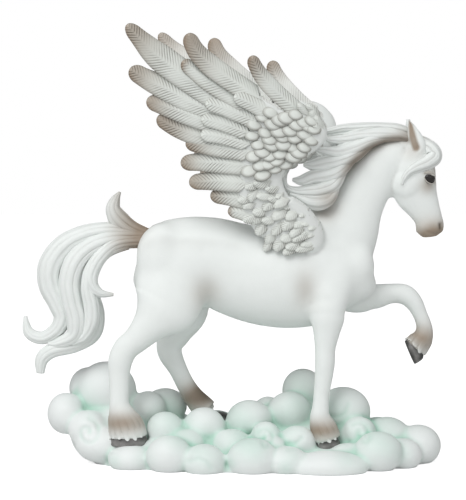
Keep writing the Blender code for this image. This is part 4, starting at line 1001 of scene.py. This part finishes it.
def paint_horse(data, ears, nostrils, mouth):
    """Airbrushed spots, and painted shade in the creases, where the mane meets the neck and under the
    coverts; darker nostrils and mouth line.
    """
    points = points_of(data)
    mirrored = points * (1, 0, 1) + np.abs(points) * (0, 1, 0)
    beige = np.maximum(spots(mirrored, BEIGE_SPOTS), spots(points, FOOT_BEIGE))
    # Painted shade, beige, where the mane meets the neck.
    beige = np.maximum(beige, 0.45 * mane_shadow(points, MANE_SHADE_REACH))
    beige = np.maximum(beige, 0.95 * step(0.1, 0.9, ears))
    # Painted shade in the creases; the carved nostrils and mouth line darker.
    shade = step(0.05, 0.5, hollow(data, CREASE_PASSES)) * 0.35 + nostrils * 0.9 + 0.6 * mouth
    shade = np.maximum(shade, spots(points, FOOT_BROWN))
    # Painted shade, brown, along the mane's edge, and on the wing's skin under the coverts.
    shade = np.maximum(shade, 0.3 * mane_shadow(points, MANE_LINE_REACH))
    beyond_body = np.abs(points[:, 1]) - 12 - 0.18 * (points[:, 2] - WING_ROOT_Z)
    shade = np.maximum(shade, 0.13 * step(0, 3, beyond_body) * step(100, 110, points[:, 2]))
    set_paint(data, {"beige": beige, "shade": shade, "green": np.zeros(len(points))})


def foot_frame(axis):
    """A hoof's axis, and its ways to the toe and to the side."""
    axis = unit(np.array(axis, float))
    wide = np.array([0.0, 1, 0])
    return axis, unit(np.cross(axis, wide)), wide


def hoof(centre, axis, radius, height, rim):
    """A hoof: a blunt cone, widest at its sole, with a rounded rim. Its paint is darkest under the hair."""
    axis, deep, wide = foot_frame(axis)
    turn = np.arange(HOOF_POINTS) * 2 * math.pi / HOOF_POINTS
    rings, shades = [], []
    for share, spread in HOOF_PROFILE:
        middle = np.array(centre) - axis * height * share
        grain = 1 + 0.014 * np.cos(turn * 9) + 0.01 * np.cos(turn * 14 + share * 3)
        length = deep * (radius * spread * np.cos(turn) * grain)[:, None]
        width = wide * (radius * HOOF_NARROWNESS * spread * np.sin(turn) * grain)[:, None]
        rings.append(middle + length + width)
        dark = max(step(0.35, 1.0, share), rim * step(0.3, 0.1, share))
        shades.append(dark + 0.3 * np.cos(turn * 5 + share * 4))
    return (*loft(np.array(rings)), np.concatenate(shades))


def fetlock(stations, locks, ragged):
    """The hair round a hoof: a bell of locks, whose ragged ends hang over the hoof."""
    rings = limb_rings(stations, BELL_POINTS, BELL_STEPS)
    middle = rings.mean(axis=1, keepdims=True)
    down = unit(middle[-1, 0] - middle[-6, 0])
    share = np.linspace(0, 1, len(rings))[:, None]
    turn = np.arange(BELL_POINTS)[None, :] * 2 * math.pi / BELL_POINTS
    wander = turn * locks / 2 + 0.7 * np.sin(2 * turn) + 0.9 * share
    lock = np.abs(np.cos(wander)) ** 0.8
    fine = np.abs(np.cos(3 * wander + 0.6)) ** 0.7
    cut = (1 - lock) * share**1.6
    factor = 1 - 0.13 * cut - 0.03 * (1 - fine) * share + 0.05 * share**8 * lock
    hang = ragged * (lock * (0.8 + 0.4 * np.sin(3 * turn + 1)) - 0.5) * share**7
    rings = middle + (rings - middle) * factor[..., None] + down * hang[..., None]
    lip = middle[-1] + (rings[-1] - middle[-1]) * 0.9 - down * 0.1
    under = middle[-1] + (rings[-1] - middle[-1]) * 0.7 - down * 1.6
    rings = np.concatenate([rings, lip[None], under[None]])
    ends = np.ones((2, BELL_POINTS))
    # Painted shade: darker in the grooves between locks, most near the ends, and on the lip and the
    # underside of the bell.
    shade = np.concatenate([0.9 * cut**1.5 + 0.12 * (1 - fine) * share, 0.85 * ends]).ravel()
    faded = np.concatenate([1 - 0.75 * share**5 * ends[:1], 0.3 * ends]).ravel()
    return (*loft(rings), shade, faded)


def hooves():
    made = [hoof(*row) for row in HOOVES.values()]
    points, faces = gather([(p, f) for p, f, _ in made])
    item = piece("hooves", points, faces, shade=np.concatenate([s for _, _, s in made]))
    outward(item.data)
    return item


def fetlocks():
    made = [fetlock(*row) for row in FETLOCKS.values()]
    points, faces = gather([(p, f) for p, f, _, _ in made])
    shade = np.maximum(0.8 * np.concatenate([s for _, _, s, _ in made]), spots(points, FOOT_BROWN))
    beige = spots(points, FOOT_BEIGE) * np.concatenate([f for _, _, _, f in made])
    return resin_piece("fetlock_hair", points, faces, beige, shade)


def eyes():
    centre, sizes = EYE
    shapes = []
    for side in SIDES:
        tilt = Euler((0, math.radians(EYE_NOD), math.radians(-EYE_TURN * side))).to_matrix().to_4x4()
        shapes.append(ball((centre[0], centre[1] * side, centre[2]), sizes, 32, 16, tilt))
    points, faces = gather(shapes)
    return piece("eyes", points, faces)


def lids():
    """Rims of resin above and below each eye."""
    shapes = []
    for side in SIDES:
        for line, thick in LIDS:
            stations = [(x, y * side, z, thick * k, thick * k) for (x, y, z), k in zip(line, LID_TAPER)]
            shapes.append(limb(stations, 14, 6))
    points, faces = gather(shapes)
    return resin_piece("eyelids", points, faces, np.full(len(points), 0.55), np.full(len(points), 0.1))


def spiral(x, z, radius, turns, start, way):
    """Side-view points of a curl."""
    shares = np.linspace(0, 1, 14)
    angle = start + way * shares * turns * 2 * math.pi
    reach = radius * (1 - 0.82 * shares)
    return list(zip(x + reach * np.cos(angle), z + reach * np.sin(angle)))


# Grooves on the front of the cloud.
CURLS = [
    spiral(-69, 16, 6.4, 1.2, 1.4, -1), spiral(16, 15, 4.6, 1, 2.6, -1), spiral(61, 16.6, 5.2, 1, 2.4, -1),
    [(-20, 6), (-16, 7.4), (-12, 6.2), (-9.6, 3)], [(46, 23), (50, 22.6), (54, 24.6), (56, 28.6)],
    [(26, 12), (30, 12.4), (33, 14.6)],
]


def cloud():
    """The bank of cloud, pale green between its billows and where it is sprayed, with painted shade deep
    between the billows and on the far lobes.
    """
    shapes = [ball(*row, 48, 24) for row in MOUND] + [ball(*row) for row in CLOUD]
    item = skinned("cloud", shapes, CLOUD_VOXEL, CLOUD_PASSES)
    data = item.data
    cuts = sum(carve(data, line, 1.2, 0.6, NEAR) for line in CURLS)
    flatten(item)
    points = points_of(data)
    deep = hollow(data, BILLOW_PASSES)
    # Painted shade: the far lobes greyer and a little greener, and the deepest gaps darker.
    far_lobe_shade = step(-16, 12, points[:, 1]) * step(-58, -44, points[:, 0])
    hidden = step(-0.4, 1.3, deep)
    green = 0.5 * hidden + 0.3 * cuts + mist(points) * (0.5 + 0.5 * hidden) + 0.15 * far_lobe_shade
    shade = 0.2 * step(0.8, 2.6, deep) + 0.12 * far_lobe_shade
    set_paint(data, {"beige": np.zeros(len(points)), "shade": shade, "green": green})
    return item


def flatten(item):
    """Presses everything under the floor flat onto it."""
    points = points_of(item.data)
    points[:, 2] = np.maximum(points[:, 2], UNDERSIDE_Z)
    item.data.vertices.foreach_set("co", (points * MM).astype(np.float32).ravel())
    item.data.update()


class Tree:
    """A material's nodes, with short ways to add and link them."""

    def __init__(self, name):
        self.material = bpy.data.materials.new(name)
        self.material.use_nodes = True
        self.nodes = self.material.node_tree.nodes
        self.links = self.material.node_tree.links
        self.shader = self.nodes["Principled BSDF"]

    def add(self, kind, **settings):
        node = self.nodes.new(kind)
        for key, value in settings.items():
            setattr(node, key, value)
        return node

    def feed(self, node, socket, value):
        if isinstance(value, bpy.types.NodeSocket):
            self.links.new(value, node.inputs[socket])
        else:
            node.inputs[socket].default_value = value

    def math(self, operation, first, second=0.0, clamp=False):
        node = self.add("ShaderNodeMath", operation=operation, use_clamp=clamp)
        self.feed(node, 0, first)
        self.feed(node, 1, second)
        return node.outputs[0]

    def mix(self, factor, first, second):
        node = self.add("ShaderNodeMix", data_type="RGBA")
        self.feed(node, 0, factor)
        self.feed(node, 6, first)
        self.feed(node, 7, second)
        return node.outputs[2]

    def noise(self, scale, detail=3.0, roughness=0.55):
        where = self.add("ShaderNodeTexCoord").outputs["Object"]
        node = self.add("ShaderNodeTexNoise")
        self.feed(node, "Vector", where)
        self.feed(node, "Scale", scale)
        self.feed(node, "Detail", detail)
        self.feed(node, "Roughness", roughness)
        return node.outputs["Fac"]

    def paint(self, name):
        return self.add("ShaderNodeAttribute", attribute_name=name).outputs["Fac"]

    def bump(self, height, strength, distance):
        node = self.add("ShaderNodeBump")
        self.feed(node, "Height", height)
        self.feed(node, "Strength", strength)
        self.feed(node, "Distance", distance)
        self.links.new(node.outputs[0], self.shader.inputs["Normal"])


def resin(name, body, shade_most=1.0):
    """Matt off-white paint with airbrushed beige and pale green, and brown where the shade paint lies:
    painted shade in creases and grooves, brown paint on two feet.
    """
    tree = Tree(name)
    cloudy = tree.noise(60, 4)
    fine = tree.noise(900, 3)
    broken = tree.math("ADD", tree.math("MULTIPLY", cloudy, 0.5), 0.75)
    colour = tree.mix(tree.math("MULTIPLY", tree.noise(120, 5), 0.12), body, PAINT["grey"])
    patchy = tree.math("ADD", tree.math("MULTIPLY", tree.noise(35, 3), 1.4), 0.1)
    green = tree.math("MULTIPLY", tree.paint("green"), patchy, True)
    colour = tree.mix(green, colour, PAINT["mint"])
    beige = tree.math("MULTIPLY", tree.paint("beige"), broken, True)
    colour = tree.mix(beige, colour, PAINT["beige"])
    # Brown by the shade paint: painted shade in creases, grooves and gaps, and brown paint on two feet.
    shade = tree.math("MULTIPLY", tree.math("MULTIPLY", tree.paint("shade"), broken, True), shade_most)
    colour = tree.mix(shade, colour, PAINT["brown"])
    tree.feed(tree.shader, "Base Color", colour)
    rough = tree.math("ADD", tree.math("MULTIPLY", fine, 0.14), 0.5)
    tree.feed(tree.shader, "Roughness", rough)
    tree.feed(tree.shader, "Specular IOR Level", 0.35)
    tree.bump(tree.math("ADD", fine, tree.math("MULTIPLY", cloudy, 1.5)), 0.16, 0.0003)
    return tree.material


def hoof_paint():
    """Dark grey, worn lighter in specks and darker under the hair."""
    tree = Tree("hoof_paint")
    specks = tree.noise(700, 4)
    grey = tree.mix(specks, PAINT["hoof"], PAINT["worn_hoof"])
    dark = tree.math("MULTIPLY", tree.paint("shade"), tree.math("ADD", specks, 0.45), True)
    tree.feed(tree.shader, "Base Color", tree.mix(dark, grey, PAINT["dark_hoof"]))
    tree.feed(tree.shader, "Roughness", tree.math("ADD", tree.math("MULTIPLY", specks, 0.3), 0.4))
    tree.bump(specks, 0.4, 0.0004)
    return tree.material


def eye_paint():
    """Glossy black."""
    tree = Tree("eye_paint")
    fine = tree.noise(500, 2)
    tree.feed(tree.shader, "Base Color", tree.mix(fine, PAINT["eye"], PAINT["pale_eye"]))
    tree.feed(tree.shader, "Roughness", tree.math("ADD", tree.math("MULTIPLY", fine, 0.1), 0.16))
    return tree.material


def white_when_seen(name, colour, glow):
    """A surface that is white to the camera, yet takes the object's shadow."""
    tree = Tree(name)
    tree.feed(tree.shader, "Base Color", colour)
    tree.feed(tree.shader, "Roughness", 0.9)
    tree.feed(tree.shader, "Specular IOR Level", 0.1)
    glowing = tree.add("ShaderNodeEmission")
    tree.feed(glowing, "Strength", glow)
    both = tree.add("ShaderNodeAddShader")
    tree.links.new(tree.shader.outputs[0], both.inputs[0])
    tree.links.new(glowing.outputs[0], both.inputs[1])
    choose = tree.add("ShaderNodeMixShader")
    tree.links.new(tree.add("ShaderNodeLightPath").outputs["Is Camera Ray"], choose.inputs[0])
    tree.links.new(tree.shader.outputs[0], choose.inputs[1])
    tree.links.new(both.outputs[0], choose.inputs[2])
    tree.links.new(choose.outputs[0], tree.nodes["Material Output"].inputs["Surface"])
    return tree.material


def floor():
    """A wide pale floor just under the cloud."""
    corners = np.array([(-1, -1, 0), (1, -1, 0), (1, 1, 0), (-1, 1, 0)]) * FLOOR_HALF + (0, 0, FLOOR_Z)
    item = piece("floor", corners, [[0, 1, 2, 3]])
    item.data.materials.append(white_when_seen("floor_white", (0.8, 0.8, 0.8, 1), FLOOR_GLOW))


def sky():
    """White to the camera. Its light falls off from the front to the back."""
    world = bpy.data.worlds.new("studio")
    bpy.context.scene.world = world
    world.use_nodes = True
    nodes, links = world.node_tree.nodes, world.node_tree.links
    soft, seen = nodes["Background"], nodes.new("ShaderNodeBackground")
    split, darker = nodes.new("ShaderNodeSeparateXYZ"), nodes.new("ShaderNodeMapRange")
    links.new(nodes.new("ShaderNodeTexCoord").outputs["Generated"], split.inputs[0])
    links.new(split.outputs["Y"], darker.inputs["Value"])
    ranges = {
        "From Min": -WORLD_BLEND, "From Max": WORLD_BLEND,
        "To Min": WORLD_FRONT, "To Max": WORLD_BACK,
    }
    for socket, value in ranges.items():
        darker.inputs[socket].default_value = value
    links.new(darker.outputs[0], soft.inputs["Strength"])
    for node in (soft, seen):
        node.inputs["Color"].default_value = (1, 1, 1, 1)
    seen.inputs["Strength"].default_value = 1.0
    choose = nodes.new("ShaderNodeMixShader")
    links.new(nodes.new("ShaderNodeLightPath").outputs["Is Camera Ray"], choose.inputs[0])
    links.new(soft.outputs[0], choose.inputs[1])
    links.new(seen.outputs[0], choose.inputs[2])
    links.new(choose.outputs[0], nodes["World Output"].inputs["Surface"])


def lamps():
    for name, place, energy, width in LAMPS:
        lamp = bpy.data.lights.new(name, "AREA")
        lamp.energy = energy
        lamp.size = width
        item = bpy.data.objects.new(name, lamp)
        item.location = place
        item.rotation_euler = (Vector(LAMP_AIM) - Vector(place)).to_track_quat("-Z", "Y").to_euler()
        bpy.context.scene.collection.objects.link(item)


def camera():
    """The photo's view: a little downwards, from level with the wing's middle."""
    eye, target = Vector((AIM[0], -SEEN_FROM * MM, EYE_Z * MM)), Vector(AIM)
    data = bpy.data.cameras.new("camera")
    data.sensor_fit = "HORIZONTAL"
    data.sensor_width = SENSOR
    data.lens = SENSOR * SEEN_FROM * MM / VIEW_WIDTH
    item = bpy.data.objects.new("camera", data)
    item.location = eye
    item.rotation_euler = (target - eye).to_track_quat("-Z", "Y").to_euler()
    bpy.context.scene.collection.objects.link(item)
    bpy.context.scene.camera = item


def finish_piece(item, material):
    """Material, smooth shading, and the piece's place on the frame."""
    item.data.materials.clear()
    item.data.materials.append(material)
    smooth_shaded(item)
    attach(item, "root")


def main():
    bpy.context.scene.view_settings.view_transform = "Standard"
    camera()
    body_resin = resin("horse_resin", PAINT["white"])
    wing_resin = resin("wing_resin", PAINT["wing"])
    # Lighter paint and weaker painted shade on the far wing: painted light.
    far_wing_resin = resin("far_wing_resin", PAINT["far_wing"], shade_most=0.6)
    hair_resin = resin("hair_resin", PAINT["hair"])
    cloud_resin = resin("cloud_resin", PAINT["cloud"])
    body = horse()
    finish_piece(body, body_resin)
    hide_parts("pegasus_casting")
    small = coverts()
    finish_piece(painted_wing("near_feathers", long_feathers(LONG_FEATHERS), False), wing_resin)
    finish_piece(painted_wing("near_coverts", small, False), wing_resin)
    far_table = [FAR_FEATHERS.get(k, row) for k, row in enumerate(LONG_FEATHERS)]
    finish_piece(painted_wing("far_feathers", long_feathers(far_table), True), far_wing_resin)
    finish_piece(painted_wing("far_coverts", small, True), far_wing_resin)
    finish_piece(mane(), hair_resin)
    finish_piece(tail(), hair_resin)
    finish_piece(fetlocks(), hair_resin)
    finish_piece(lids(), body_resin)
    finish_piece(cloud(), cloud_resin)
    finish_piece(hooves(), hoof_paint())
    finish_piece(eyes(), eye_paint())
    floor()
    sky()
    lamps()


main()
